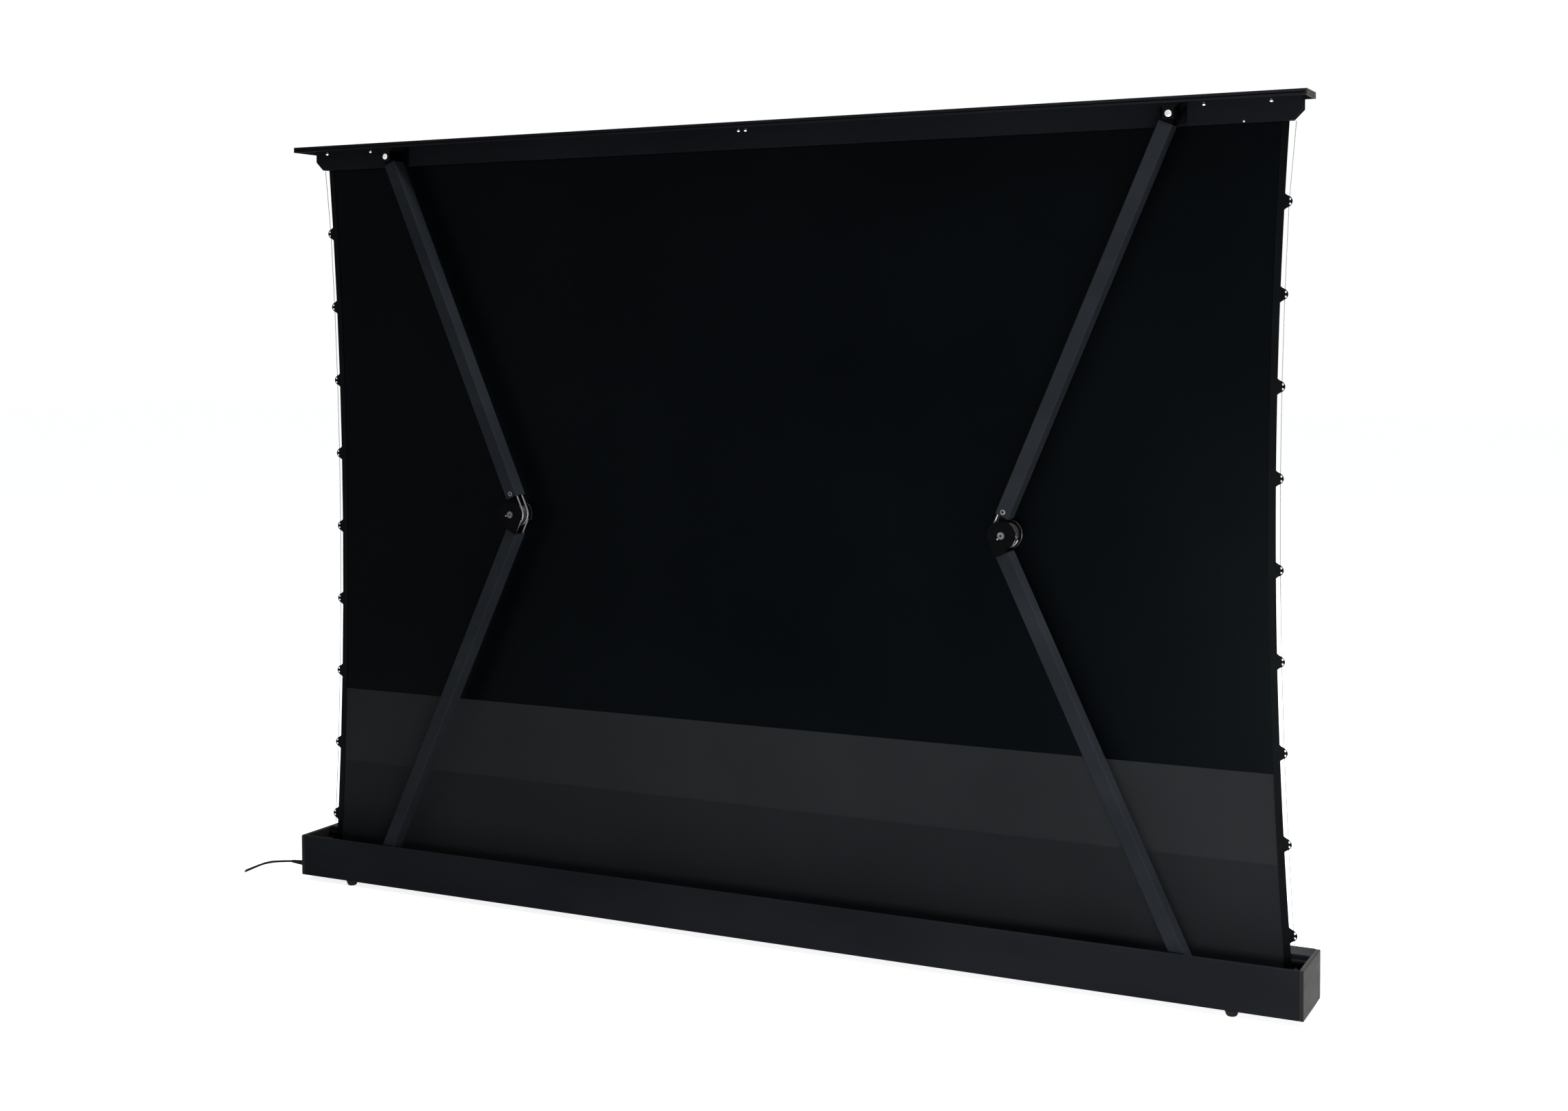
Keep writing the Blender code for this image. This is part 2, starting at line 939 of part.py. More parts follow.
def build_base_bracket(name, side):
    """Clevis on the floor of the case, with the hole of the base pin."""
    rear_out, rear_in, front_in, front_out = cheek_span()
    low = foot_height + case_floor + fit_gap
    web = low + clevis_base
    high = at_height(base_pivot_height) + base_clevis_overhang
    outline = [
        (at_depth(rear_out), low),
        (at_depth(rear_out), high),
        (at_depth(rear_in), high),
        (at_depth(rear_in), web),
        (at_depth(front_in), web),
        (at_depth(front_in), high),
        (at_depth(front_out), high),
        (at_depth(front_out), low),
    ]
    centre = at_inset(side, base_pivot_inset)
    half = base_clevis_width / 2
    item = finish_mesh(
        name,
        prism(rounded(outline, profile_radius), centre - half, centre + half, along_x),
        zinc(),
    )
    cut_bore(item, name, centre, at_height(base_pivot_height), pin_clearance)


def cut_bore(item, name, x, z, clearance, parent=None, y_centre=None):
    """Hole along Y for a pin, right through the piece."""
    if y_centre is None:
        y_centre = at_depth(arm_mid_depth)
    outline = circle(x, z, pin_radius + clearance, small_round_sides)
    mesh = prism(outline, y_centre - arm_depth, y_centre + arm_depth, along_y)
    boolean(item, tool(f"{name}_bore", mesh, parent), "DIFFERENCE")


def pin_profile():
    """Shaft with a domed head on the rear and a flat tail on the audience's side."""
    rear_out, _, _, front_out = cheek_span()
    head = at_depth(rear_out) + fit_gap
    tail = at_depth(front_out) - fit_gap
    dome_share = 0.62
    return [
        (tail - pin_tail_height, 0),
        (tail - pin_tail_height, pin_head_radius),
        (tail, pin_head_radius),
        (tail, pin_radius),
        (head, pin_radius),
        (head, pin_head_radius),
        (head + pin_head_height / 2, pin_head_radius),
        (head + pin_head_height, pin_head_radius * dome_share),
        (head + pin_head_height, 0),
    ]


def build_pin(name, x, z):
    mesh = lathe(pin_profile(), small_round_sides, lambda a, b, y: (x + a, y, z + b))
    finish_mesh(name, mesh, steel())


def build_elbow_bolt(name, x, z, parent):
    """Bolt through the elbow: washer and low hexagon on the rear, plain tail in front."""
    rear_out, _, _, front_out = cheek_span()
    middle = at_depth(arm_mid_depth)
    head = at_depth(rear_out) + fit_gap - middle
    tail = at_depth(front_out) - fit_gap - middle
    washer_top = head + elbow_washer_height
    profile = [
        (tail - pin_tail_height, 0),
        (tail - pin_tail_height, pin_head_radius),
        (tail, pin_head_radius),
        (tail, pin_radius),
        (head, pin_radius),
        (head, elbow_washer_radius),
        (washer_top, elbow_washer_radius),
        (washer_top, 0),
    ]
    mesh = lathe(profile, small_round_sides, lambda a, b, y: (x + a, y, z + b))
    item = finish_mesh(name, mesh, steel(), parent)
    corner_radius = elbow_hex_width / 2 / math.cos(math.pi / hex_sides)
    outline = circle(x, z, corner_radius, hex_sides)
    hexagon = prism(outline, head + fit_gap, head + pin_head_height, along_y)
    boolean(item, tool(f"{name}_head", hexagon, parent), "UNION")


def arm_box(direction, reach_start, reach_end, low, high, half_depth):
    """Block in an arm's own frame: along the tube, across it, and half its depth."""
    outline = [
        (direction * reach_start, low),
        (direction * reach_end, low),
        (direction * reach_end, high),
        (direction * reach_start, high),
    ]
    return prism(outline, -half_depth, half_depth, along_y)


def build_arm_tube(name, direction, start, end, centre, parent):
    """Rectangular tube, open at both ends, in its arm's frame."""
    half_width = arm_width / 2
    half_depth = arm_depth / 2
    outer = rectangle(
        -half_depth, centre - half_width, half_depth, centre + half_width
    )
    inner = rectangle(
        -half_depth + arm_wall,
        centre - half_width + arm_wall,
        half_depth - arm_wall,
        centre + half_width - arm_wall,
    )
    outer = rounded(outer, arm_corner_radius)
    inner = rounded(inner, arm_inner_radius)
    mesh = tube_prism(outer, inner, direction * start, direction * end, along_x)
    finish_mesh(name, mesh, slate(), parent)


def plug_half_depth():
    return arm_depth / 2 - arm_wall - fit_gap


def build_end_knuckle(name, direction, pivot_reach, toward, centre, parent, clearance):
    """Casting with the eye of a pin and a plug in the tube's end."""
    eye = circle(direction * pivot_reach, 0 if toward > 0 else centre, knuckle_radius)
    half_depth = arm_depth / 2
    item = finish_mesh(name, prism(eye, -half_depth, half_depth, along_y), black_casting(), parent)
    half_plug = arm_width / 2 - arm_wall - fit_gap
    far = pivot_reach + toward * (end_reach + plug_length)
    block = arm_box(
        direction,
        pivot_reach + toward * pin_radius,
        far,
        centre - half_plug,
        centre + half_plug,
        plug_half_depth(),
    )
    boolean(item, tool(f"{name}_plug", block, parent), "UNION")
    height = 0 if toward > 0 else centre
    cut_bore(item, name, direction * pivot_reach, height, clearance, parent, 0)


def build_elbow_fork(name, direction, centre_reach, centre_height, tube_centre, parent):
    """Two round cheeks and a neck between them, with a plug in the lower tube."""
    x = direction * centre_reach
    rear_out, rear_in, front_in, front_out = cheek_span()
    outer_half = arm_mid_depth - rear_out
    inner_half = arm_mid_depth - rear_in
    half_width = arm_width / 2
    neck_low = centre_height - neck_outer
    neck_high = centre_height - neck_inner
    tube_end = centre_reach - elbow_reach
    mesh = arm_box(
        direction,
        tube_end + fit_gap,
        centre_reach - neck_start,
        neck_low,
        neck_high,
        inner_half + cheek_thickness / 2,
    )
    item = finish_mesh(name, mesh, black_casting(), parent)
    plug = arm_box(
        direction,
        tube_end - plug_length,
        centre_reach - neck_start - cheek_thickness,
        neck_low,
        neck_high,
        plug_half_depth(),
    )
    boolean(item, tool(f"{name}_plug", plug, parent), "UNION")
    tongue_low = tube_centre - half_width
    for cheek_name, near, far in (
        ("rear", inner_half, outer_half),
        ("front", -inner_half, -outer_half),
    ):
        cheek = prism(
            cheek_outline(x, direction, centre_height, tongue_low, neck_high), near, far, along_y
        )
        boolean(item, tool(f"{name}_{cheek_name}", cheek, parent), "UNION")
    cut_bore(item, name, x, centre_height, pin_clearance, parent, 0)


def cheek_outline(x, direction, centre_height, low, high):
    """Disc about the elbow with a tongue back to the lower tube's end."""
    reach = elbow_reach - fit_gap
    start = math.asin((high - centre_height) / disc_radius)
    stop = math.asin(max(-1.0, (low - centre_height) / disc_radius))
    angle_first = math.pi - start
    angle_last = -math.pi - stop
    points = [(x - direction * reach, high)]
    for step in range(round_sides + 1):
        angle = angle_first + (angle_last - angle_first) * step / round_sides
        points.append(
            (
                x + direction * disc_radius * math.cos(angle),
                centre_height + disc_radius * math.sin(angle),
            )
        )
    points.append((x - direction * reach, low))
    return points


def build_elbow_hub(name, direction, parent):
    """Drum between the cheeks, with a neck and a plug in the upper tube."""
    half_depth = arm_mid_depth - cheek_span()[1] - swing_gap
    drum = prism(circle(0, 0, hub_radius), -half_depth, half_depth, along_y)
    item = finish_mesh(name, drum, steel(), parent)
    neck = arm_box(
        direction,
        pin_radius * 2,
        elbow_reach + plug_length,
        neck_inner,
        neck_outer,
        plug_half_depth(),
    )
    boolean(item, tool(f"{name}_plug", neck, parent), "UNION")
    cut_bore(item, name, 0, 0, pin_clearance, parent, 0)


def cable_path(direction, arc, height_sign, spread):
    """A looped cable: one side along the arc and into the tube, round a bend, and back."""
    radius = hub_radius + fit_gap + cable_radius
    half_spread = spread / 2
    run = []
    for step in range(arc_steps + 1):
        angle = math.radians(90) + arc * (arc_steps - step) / arc_steps
        run.append((radius * math.cos(angle), radius * math.sin(angle)))
    if arc == 0:
        run = run[:1]
    straight = cable_run - half_spread
    one_side = [(direction * a, -half_spread, height_sign * b) for a, b in run]
    one_side.append((direction * straight, -half_spread, height_sign * radius))
    bend = []
    for step in range(1, bend_steps):
        angle = math.pi * step / bend_steps
        bend.append(
            (
                direction * (straight + half_spread * math.sin(angle)),
                -half_spread * math.cos(angle),
                height_sign * radius,
            )
        )
    other_side = [(x, -y, z) for x, y, z in reversed(one_side)]
    return one_side + bend + other_side


def build_arm(side_name, side):
    """Lower arm from the base pivot to the elbow and upper arm from there to the top pivot.

    Each is built lying flat, as it lies when the screen is down, and then turned up.
    """
    inward = -side
    y = at_depth(arm_mid_depth)
    base = Vector((at_inset(side, base_pivot_inset), y, at_height(base_pivot_height)))
    elbow = Vector((at_inset(side, elbow_inset), y, at_height(elbow_height)))
    lower = pivot(f"{side_name}_base_pivot", base, -inward * lower_slope)
    upper = pivot(f"{side_name}_elbow_pivot", elbow, inward * upper_slope)
    elbow_level = base_offset + elbow_offset

    build_arm_tube(
        f"{side_name}_lower_tube",
        inward,
        end_reach,
        lower_reach - elbow_reach,
        base_offset,
        lower,
    )
    build_end_knuckle(
        f"{side_name}_base_knuckle", inward, 0, 1, base_offset, lower, pin_clearance
    )
    build_elbow_fork(
        f"{side_name}_elbow_fork", inward, lower_reach, elbow_level, base_offset, lower
    )
    build_elbow_bolt(f"{side_name}_elbow_bolt", inward * lower_reach, elbow_level, lower)
    anchor = cable_path(-inward, 0, -1, lower_cable_spread)
    shift = Vector((inward * lower_reach, 0, elbow_level))
    anchor_path = [Vector(p) + shift for p in anchor]
    mesh = sweep(anchor_path, cable_radius, cable_sides)
    finish_mesh(f"{side_name}_lower_cable", mesh, steel(), lower)

    build_arm_tube(
        f"{side_name}_upper_tube",
        -inward,
        elbow_reach,
        upper_reach - end_reach,
        elbow_offset,
        upper,
    )
    build_elbow_hub(f"{side_name}_elbow_hub", -inward, upper)
    clearance = open_pivot_clearance if side > 0 else pin_clearance
    build_end_knuckle(
        f"{side_name}_top_knuckle", -inward, upper_reach, -1, elbow_offset, upper, clearance
    )
    wound = cable_path(-inward, math.pi, 1, upper_cable_spread)
    mesh = sweep(wound, cable_radius, cable_sides)
    finish_mesh(f"{side_name}_upper_cable", mesh, steel(), upper)
    build_spring(f"{side_name}_arm_spring", -inward, upper)

    build_base_bracket(f"{side_name}_base_bracket", side)
    build_pin(f"{side_name}_base_pin", base.x, base.z)
    build_top_bracket(f"{side_name}_top_bracket", side)
    top_x = at_inset(side, top_pivot_inset)
    build_pin(f"{side_name}_top_pin", top_x, at_height(top_pivot_height))


def build_spring(name, direction, parent):
    """Tension spring in the upper tube, hooked behind the hub's plug."""
    start = elbow_reach + plug_length + fit_gap
    end = start + spring_length
    inner = spring_radius - spring_wire
    profile = [
        (start, inner),
        (start, spring_radius),
        (end, spring_radius),
        (end, inner),
    ]
    mesh = lathe(
        profile,
        small_round_sides,
        lambda a, b, x: (direction * x, a, elbow_offset + b),
    )
    finish_mesh(name, mesh, steel(), parent)


# Fabric
def fabric_depth(height):
    """Depth of the fabric's rear face: it leans from the roll to the slot of the beam."""
    share = (height - roller_height) / (beam_bottom - roller_height)
    low = roll_depth - fit_gap - fabric_thickness
    high = slot_depth_at - fabric_thickness / 2
    return low + (high - low) * share


def fabric_inset(height):
    """Inset of the fabric's edge, which the tabs draw into a hollow curve."""
    share = (height - roller_height) / (beam_bottom - roller_height)
    straight = fabric_inset_bottom + (fabric_inset_top - fabric_inset_bottom) * share
    return straight + 4 * fabric_waist * share * (1 - share)


def fabric_sheet(name, low, high, made_of):
    """Flat leaning sheet between two heights, with hollow edges."""
    heights = [low + (high - low) * i / edge_steps for i in range(edge_steps + 1)]
    right = [(at_inset(1, fabric_inset(h)), h) for h in heights]
    left = [(at_inset(-1, fabric_inset(h)), h) for h in reversed(heights)]
    mesh = prism(right + left, 0, fabric_thickness, on_fabric)
    finish_mesh(name, mesh, made_of)


def on_fabric(x, height, forward):
    """Point at a height and a distance in front of the fabric's rear face."""
    return (x, at_depth(fabric_depth(height)) - forward, at_height(height))


def tab_heights():
    pitch = (beam_bottom - last_tab_drop - first_tab_height) / (tab_count - 1)
    return [first_tab_height + pitch * i for i in range(tab_count)]


def strip_outline(side):
    """Edge strip with its tabs, as points of x and height."""
    points = []
    low = roller_height
    high = beam_bottom - fit_gap * 2
    stops = []
    half = tab_height / 2
    upper_shares = [(0.225, 0.955), (0.425, 0.84), (0.58, 0.68), (0.69, 0.48), (0.8, 0.26), (1.0, 0.0)]
    lower_shares = [(-place, reach) for place, reach in reversed(upper_shares)]
    stops.append((low, 0.0))
    for height in tab_heights():
        for place_share, reach_share in lower_shares + [(0.0, 1.0)] + upper_shares:
            stops.append((height + half * place_share, reach_share * tab_reach))
    stops.append((high, 0.0))
    for height, reach in stops:
        points.append((at_inset(side, fabric_inset(height) - reach), height))
    for step in range(edge_steps + 1):
        height = high + (low - high) * step / edge_steps
        points.append((at_inset(side, fabric_inset(height) + strip_width), height))
    return points


def build_fabric():
    back = fabric("glossy_back", (0.006, 0.008, 0.008), 0.2)
    drop = fabric("lower_fabric", (0.02, 0.022, 0.023), 0.6)
    fabric_sheet("lower_drop", roller_height, sheet_split_height - fit_gap, drop)
    fabric_sheet("screen_surface", sheet_split_height, beam_bottom + beam_wall, back)
    for side_name, side in (("left", -1), ("right", 1)):
        start = -fit_gap - strip_thickness
        mesh = prism(strip_outline(side), start, -fit_gap, on_fabric)
        strip = fabric("edge_strip", (0.012, 0.012, 0.013), 0.5)
        finish_mesh(f"tab_strip_{side_name}", mesh, strip)
        build_tension_cord(f"tension_cord_{side_name}", side)


def build_tension_cord(name, side):
    """Cord behind the tabs, straight from one to the next."""
    behind = -2 * fit_gap - strip_thickness - tension_cord_radius
    low = first_tab_height - tab_height / 2 - tension_cord_tail
    high = beam_bottom - 2 * fit_gap
    first = (fabric_inset(low) - cord_outset, low)
    last = (fabric_inset(high) - tension_cord_end, high)
    middle = [(fabric_inset(h) - cord_outset, h) for h in tab_heights()]
    points = []
    for inset, height in [first] + middle + [last]:
        points.append(on_fabric(at_inset(side, inset), height, behind))
    cord = material("tension_cord", (0.75, 0.75, 0.72), 0.6)
    wire_curve(name, points, tension_cord_radius, lead_bevel_resolution, cord)


# Mains lead
def gland_tip():
    return Vector(
        (half_length + fit_gap + gland_length, at_depth(gland_depth), at_height(gland_height))
    )


def build_gland():
    """Tapered strain relief on the end cap at the motor end."""
    tip = gland_tip()
    start = half_length + fit_gap
    collar_share = 0.25
    profile = [
        (start, 0),
        (start, gland_flange_radius),
        (start + gland_flare * collar_share, gland_flange_radius),
        (start + gland_flare, gland_neck_radius),
        (tip.x, gland_tip_radius),
        (tip.x, 0),
    ]
    mesh = lathe(
        profile, small_round_sides, lambda a, b, x: (x, tip.y + a, tip.z + b)
    )
    finish_mesh("cord_gland", mesh, rubber())


def smooth_route(points):
    """Points a step apart on a smooth curve through the route's points."""
    knots = [Vector(p) for p in points]
    knots = [2 * knots[0] - knots[1]] + knots + [2 * knots[-1] - knots[-2]]
    fine = []
    parts = 40
    for a, b, c, d in zip(knots, knots[1:], knots[2:], knots[3:]):
        for i in range(parts):
            t = i / parts
            fine.append(
                0.5
                * (
                    2 * b
                    + (c - a) * t
                    + (2 * a - 5 * b + 4 * c - d) * t**2
                    + (3 * b - a - 3 * c + d) * t**3
                )
            )
    fine.append(knots[-2])
    total = sum((q - p).length for p, q in zip(fine, fine[1:]))
    count = round(total / lead_step)
    chosen = [fine[0]]
    walked = 0.0
    for p, q in zip(fine, fine[1:]):
        walked += (q - p).length
        if walked >= total * len(chosen) / count and len(chosen) < count:
            chosen.append(q)
    chosen.append(fine[-1])
    lowest = min(p.z for p in knots)
    for point in chosen:
        point.z = max(point.z, lowest)
    return chosen


def coil_point(turn):
    """Point of the coil after so many turns: in along the floor, then out on top."""
    pitch = lead_diameter + coil_gap
    turns = coil_turns_per_layer
    radius = coil_radius - pitch * (turn if turn < turns else 2 * turns - turn)
    climb = min(1.0, max(0.0, (turn - turns) * 2 + 0.5))
    rise = climb * climb * (3 - 2 * climb) * (lead_diameter + coil_layer_gap)
    angle = math.radians(90) + 2 * math.pi * turn
    return Vector(
        (
            coil_centre_x + radius * math.cos(angle),
            coil_centre_y + radius * math.sin(angle),
            lead_route[-1][2] + rise,
        )
    )


def coil_points():
    total = 2 * coil_turns_per_layer
    steps = total * coil_points_per_turn
    points = [coil_point(total * i / steps) for i in range(steps + 1)]
    start = points[0] + Vector((lead_diameter, 0, 0))
    end = points[-1] - Vector((coil_tail, 0, 0))
    return [start] + points + [end]


def least_gap(points, radius):
    """Least distance between turns of one wire, measured on its points."""
    skip = coil_points_per_turn // 2
    least = math.inf
    for i, p in enumerate(points):
        for q in points[i + skip :]:
            least = min(least, (p - q).length - 2 * radius)
    return least


def build_lead():
    radius = lead_diameter / 2
    tip = gland_tip()
    coil = coil_points()
    start = tip + Vector((fit_gap, 0, 0))
    end = coil[0] + Vector((fit_gap, 0, 0))
    route = smooth_route([tuple(start)] + lead_route + [tuple(end)])
    wire_curve("mains_cord", route, radius, lead_bevel_resolution, rubber())
    wire_curve("cord_coil", coil, radius, coil_bevel_resolution, rubber())
    print("least gap in the coil, mm:", round(least_gap(coil, radius) * 1000, 2))
    build_plug(coil[-1])


def build_plug(cord_end):
    """Two-pin plug with a tapered relief, lying on the floor beside the coil."""
    start = cord_end.x - fit_gap
    relief_end = start - plug_relief_length
    overlap = plug_bevel
    profile = [
        (start, 0),
        (start, plug_relief_radius - plug_pin_radius / 2),
        (relief_end - overlap, plug_relief_radius),
        (relief_end - overlap, 0),
    ]
    z = cord_end.z
    mesh = lathe(
        profile, small_round_sides, lambda a, b, x: (x, cord_end.y + a, z + b)
    )
    low_y = cord_end.y - plug_body_width / 2
    low_z = z - plug_body_height / 2
    outline = rounded_rectangle(
        low_y, low_z, low_y + plug_body_width, low_z + plug_body_height, plug_bevel
    )
    body = prism(outline, relief_end, relief_end - plug_body_length, along_x)
    item = finish_mesh("mains_plug", body, black_plastic())
    boolean(item, tool("mains_plug_relief", mesh), "UNION")
    for pin_name, offset in (("near", -1), ("far", 1)):
        y = cord_end.y + offset * plug_pin_spacing / 2
        pin = prism(
            circle(y, z, plug_pin_radius, small_round_sides),
            relief_end - plug_body_length + overlap,
            relief_end - plug_body_length - plug_pin_length,
            along_x,
        )
        boolean(item, tool(f"mains_plug_pin_{pin_name}", pin), "UNION")


def main():
    clear_scene()
    build_case()
    build_roller()
    build_control_box()
    build_lid()
    build_beams()
    for side_name, side in (("left", -1), ("right", 1)):
        build_arm(side_name, side)
    build_fabric()
    build_gland()
    build_lead()
    degrees = [round(math.degrees(a), 4) for a in (lower_slope, upper_slope)]
    print("raised slopes of the lower and upper arm, degrees:", degrees)


main()
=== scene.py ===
"""Materials, light and finer shapes of the floor-rising projection screen.

Metres, +Z up. The audience sits on the -Y side, and the photograph was taken from behind (+Y).
Depths are measured forward from the rear face of the case, insets from its ends, and heights
from its underside.
"""
import math

import bmesh
import bpy
from mathutils import Matrix, Vector


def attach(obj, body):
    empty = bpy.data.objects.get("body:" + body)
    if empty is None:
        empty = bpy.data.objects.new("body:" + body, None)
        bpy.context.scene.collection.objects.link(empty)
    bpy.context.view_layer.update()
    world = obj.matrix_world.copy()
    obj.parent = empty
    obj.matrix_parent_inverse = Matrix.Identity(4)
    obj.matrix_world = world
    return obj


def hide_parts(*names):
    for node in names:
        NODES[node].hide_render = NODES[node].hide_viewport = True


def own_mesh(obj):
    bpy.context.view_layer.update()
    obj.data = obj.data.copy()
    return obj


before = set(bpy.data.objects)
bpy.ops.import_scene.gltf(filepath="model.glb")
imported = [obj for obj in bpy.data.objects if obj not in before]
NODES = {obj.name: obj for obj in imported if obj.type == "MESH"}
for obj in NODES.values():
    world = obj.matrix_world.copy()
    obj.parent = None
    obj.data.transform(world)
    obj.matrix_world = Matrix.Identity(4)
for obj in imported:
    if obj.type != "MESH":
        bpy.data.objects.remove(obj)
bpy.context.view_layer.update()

# Camera, from the photograph
PHOTO_WIDTH = 2293
FOCAL_PIXELS = 2920.43
SENSOR_WIDTH = 36.0
CAMERA_PLACE = (-2.0289, 3.9055, 1.3263)
CAMERA_YAW = 26.598
CAMERA_PITCH = 1.9515
CAMERA_ROLL = 0.2439
CAMERA_SHIFT_Y = -0.0951

# Light
WORLD_LIGHT = 0.2
WORLD_TINT = (0.93, 0.96, 1.0, 1)
FLOOR_REACH = 30.0
FLOOR_COLOUR = 0.8
FLOOR_GLOW = 0.84
LAMPS = [
    ("key", (-2.1, 0.45, 3.4), (-0.3, 0.0, 0.9), (1.0, 1.0), 190),
    ("gloss", (-1.5, 2.6, 0.32), (-1.3, 0.0, 0.2), (1.8, 0.55), 62),
    ("front", (1.5, -5.0, 3.0), (0.0, 0.0, 0.9), (3.5, 3.5), 150),
]

# Case and top bar, as the solids have them
SIDES = (("left", -1), ("right", 1))
REARWARD = (0, 1, 0)
SOLID_GAP = 0.0003
HALF_LENGTH = 1.22
REAR_FACE = 0.079
UNDERSIDE = 0.012
ROLLER_HEIGHT = 0.050
ROLLER_DEPTH = 0.1145
BEAM_BOTTOM = 1.7297
BEAM_REAR_DEPTH = 0.061
LID_UNDERSIDE = 1.7697
JOINT_COVER_START = 0.247
JOINT_COVER_END = 0.302
JOINT_COVER_GAP = 0.0001
JOINT_COVER_THICKNESS = 0.0008
JOINT_COVER_EDGE = 0.0003
JOINT_COVER_ABOVE_BEAM_BOTTOM = 0.0006
JOINT_COVER_INTO_LID = 0.004
BEAM_SCREW_X = -1.0848
BEAM_SCREW_ABOVE_BEAM_BOTTOM = 0.0026
BEAM_SCREW_RADIUS = 0.0022
BEAM_SCREW_HEIGHT = 0.001
LID_SCREW_DEPTH = 0.0366
LID_SCREW_INSETS = (0.0765, 0.2075)
LID_SCREWS_MIDDLE = [-0.004, 0.013]
LID_SCREW_SHANK = [(0.0, 0.0), (0.0, 0.0022), (0.0022, 0.0022), (0.0022, 0.0040), (0.0030, 0.0044)]
LID_SCREW_HEAD_START = 0.0034
LID_SCREW_HEAD_RISE = 0.0040
LID_SCREW_HEAD_RADIUS = 0.0044

# Fabric
SHEET_TOP = 1.7317
SHEET_SPLIT = 0.4545
SECOND_JOIN = 0.275
FABRIC_THICKNESS = 0.0006
FABRIC_DEPTH_LOW = 0.0871
FABRIC_DEPTH_HIGH = 0.0757
FABRIC_INSET_LOW = 0.039
FABRIC_INSET_HIGH = 0.050
FABRIC_WAIST = 0.030
PICTURE_HALF_WIDTH = 1.107
PICTURE_LOW = 0.467
PICTURE_HIGH = 1.712
CLOTH_CELLS = 48
LOWER_CELLS = 8
ROLL_INNER_RADIUS = 0.02512
ROLL_PITCH = 0.00046
ROLL_LAYER = ROLL_PITCH * 0.85
ROLL_TURNS = 3
ROLL_STEPS_PER_TURN = 60

# Edge strips and tension cords
STRIP_WIDTH = 0.014
STRIP_THICKNESS = 0.0012
STRIP_GAP = 0.0003
STRIP_CELLS = 24
STRIP_MERGE = 0.00002
TAB_COUNT = 9
TAB_FIRST = 0.1395
TAB_LAST = 1.5747
TAB_HALF_HEIGHT = 0.016
TAB_REACH = 0.0155
TAB_SHARES = [(0.225, 0.955), (0.425, 0.84), (0.58, 0.68), (0.69, 0.48), (0.8, 0.26), (1.0, 0.0)]
EYELET_OUTSET = 0.0105
EYELET_RISE = 0.0046
EYELET_RADIUS = 0.0021
CORD_OUTSET = 0.0085
CORD_OUTSET_TOP = 0.013
CORD_RADIUS = 0.0007
CORD_FORWARD = 0.0005
CORD_TAIL = 0.006

# Elbows
ELBOW_INSET = 0.618
ELBOW_HEIGHT = 0.909
ARM_REAR_DEPTH = 0.0145
CHEEK_REAR_DEPTH = 0.0100
CHEEK_FRONT_DEPTH = 0.05525
BOLT_TOP_DEPTH = 0.0073
PIN_BESIDE_BOLT = {"left": (0.0078, -0.0072), "right": (0.0117, -0.0030)}
PIN_HEAD_RADIUS = 0.0021
PIN_HEAD_HEIGHT = 0.0009
HUB_EDGE = 0.0246
# Thin black disc on the bolt's head: painted shade of its socket
SOCKET_SHADE_PROFILE = [(0.0, 0.0), (0.0, 0.0027), (0.00012, 0.0027), (0.00012, 0.0)]
RIM_PROFILE = [(-0.00155, 0.0296), (-0.00155, 0.0303), (0.00155, 0.0303), (0.00155, 0.0296)]
RIM_MERGE = 0.00001
NUT_PROFILE = [(0.0, 0.0056), (0.0006, 0.0056), (0.0008, 0.0052), (0.0008, 0.0027), (0.0, 0.0024)]
# Thin black disc in the rivet nut's hole: painted shade of the hollow behind it
NUT_HOLE_SHADE_PROFILE = [(0.0, 0.0025), (0.0001, 0.0025), (0.0001, 0.0)]
NUT_OUTWARD = 0.0024
NUT_RISE = 0.048

# Mains lead, in the same places as the solids
LEAD_DIAMETER = 0.005
GLAND_TIP = (1.2673, 0.0590, 0.0352)
LEAD_ROUTE = [
    (1.2864, 0.0603, 0.0333),
    (1.3051, 0.0643, 0.0316),
    (1.3230, 0.0708, 0.0300),
    (1.3399, 0.0798, 0.0256),
    (1.3558, 0.0917, 0.0185),
    (1.3646, 0.0968, 0.0143),
    (1.3748, 0.0979, 0.0096),
    (1.3845, 0.0947, 0.0054),
    (1.3920, 0.0879, 0.0028),
    (1.3962, 0.0786, 0.0026),
    (1.3966, 0.0709, 0.0026),
    (1.3978, 0.0560, 0.0026),
    (1.3990, 0.0390, 0.0026),
    (1.3994, 0.0220, 0.0026),
    (1.3972, 0.0050, 0.0026),
    (1.3890, -0.0115, 0.0026),
    (1.3755, -0.0240, 0.0026),
    (1.3570, -0.0352, 0.0026),
    (1.3360, -0.0458, 0.0026),
    (1.3130, -0.0570, 0.0026),
    (1.2880, -0.0695, 0.0026),
    (1.2620, -0.0815, 0.0026),
    (1.2330, -0.0925, 0.0026),
    (1.2000, -0.1005, 0.0026),
    (1.1600, -0.1040, 0.0026),
]
COIL_CENTRE = (1.120, -0.1427)
COIL_RADIUS = 0.0387
COIL_PITCH = 0.0058
COIL_LAYER = 0.0056
COIL_TURNS = 3
COIL_POINTS_PER_TURN = 48
COIL_START = 90
COIL_TAIL = 0.040
LEAD_STEP = 0.005
CURVE_PARTS = 40

# Strain relief
GLAND_FLANGE = [
    (0.0, 0.0),
    (0.0, 0.0112),
    (0.0006, 0.0115),
    (0.0028, 0.0115),
    (0.0034, 0.0110),
    (0.0036, 0.0094),
    (0.0095, 0.0090),
    (0.0102, 0.0082),
    (0.0112, 0.0062),
]
GLAND_RIBS = 8
GLAND_FIRST_RIB = 0.0125
GLAND_LAST_RIB = 0.0045
GLAND_NECK_RADIUS = 0.0059
GLAND_TIP_RADIUS = 0.0037
GLAND_GROOVE = 0.0009

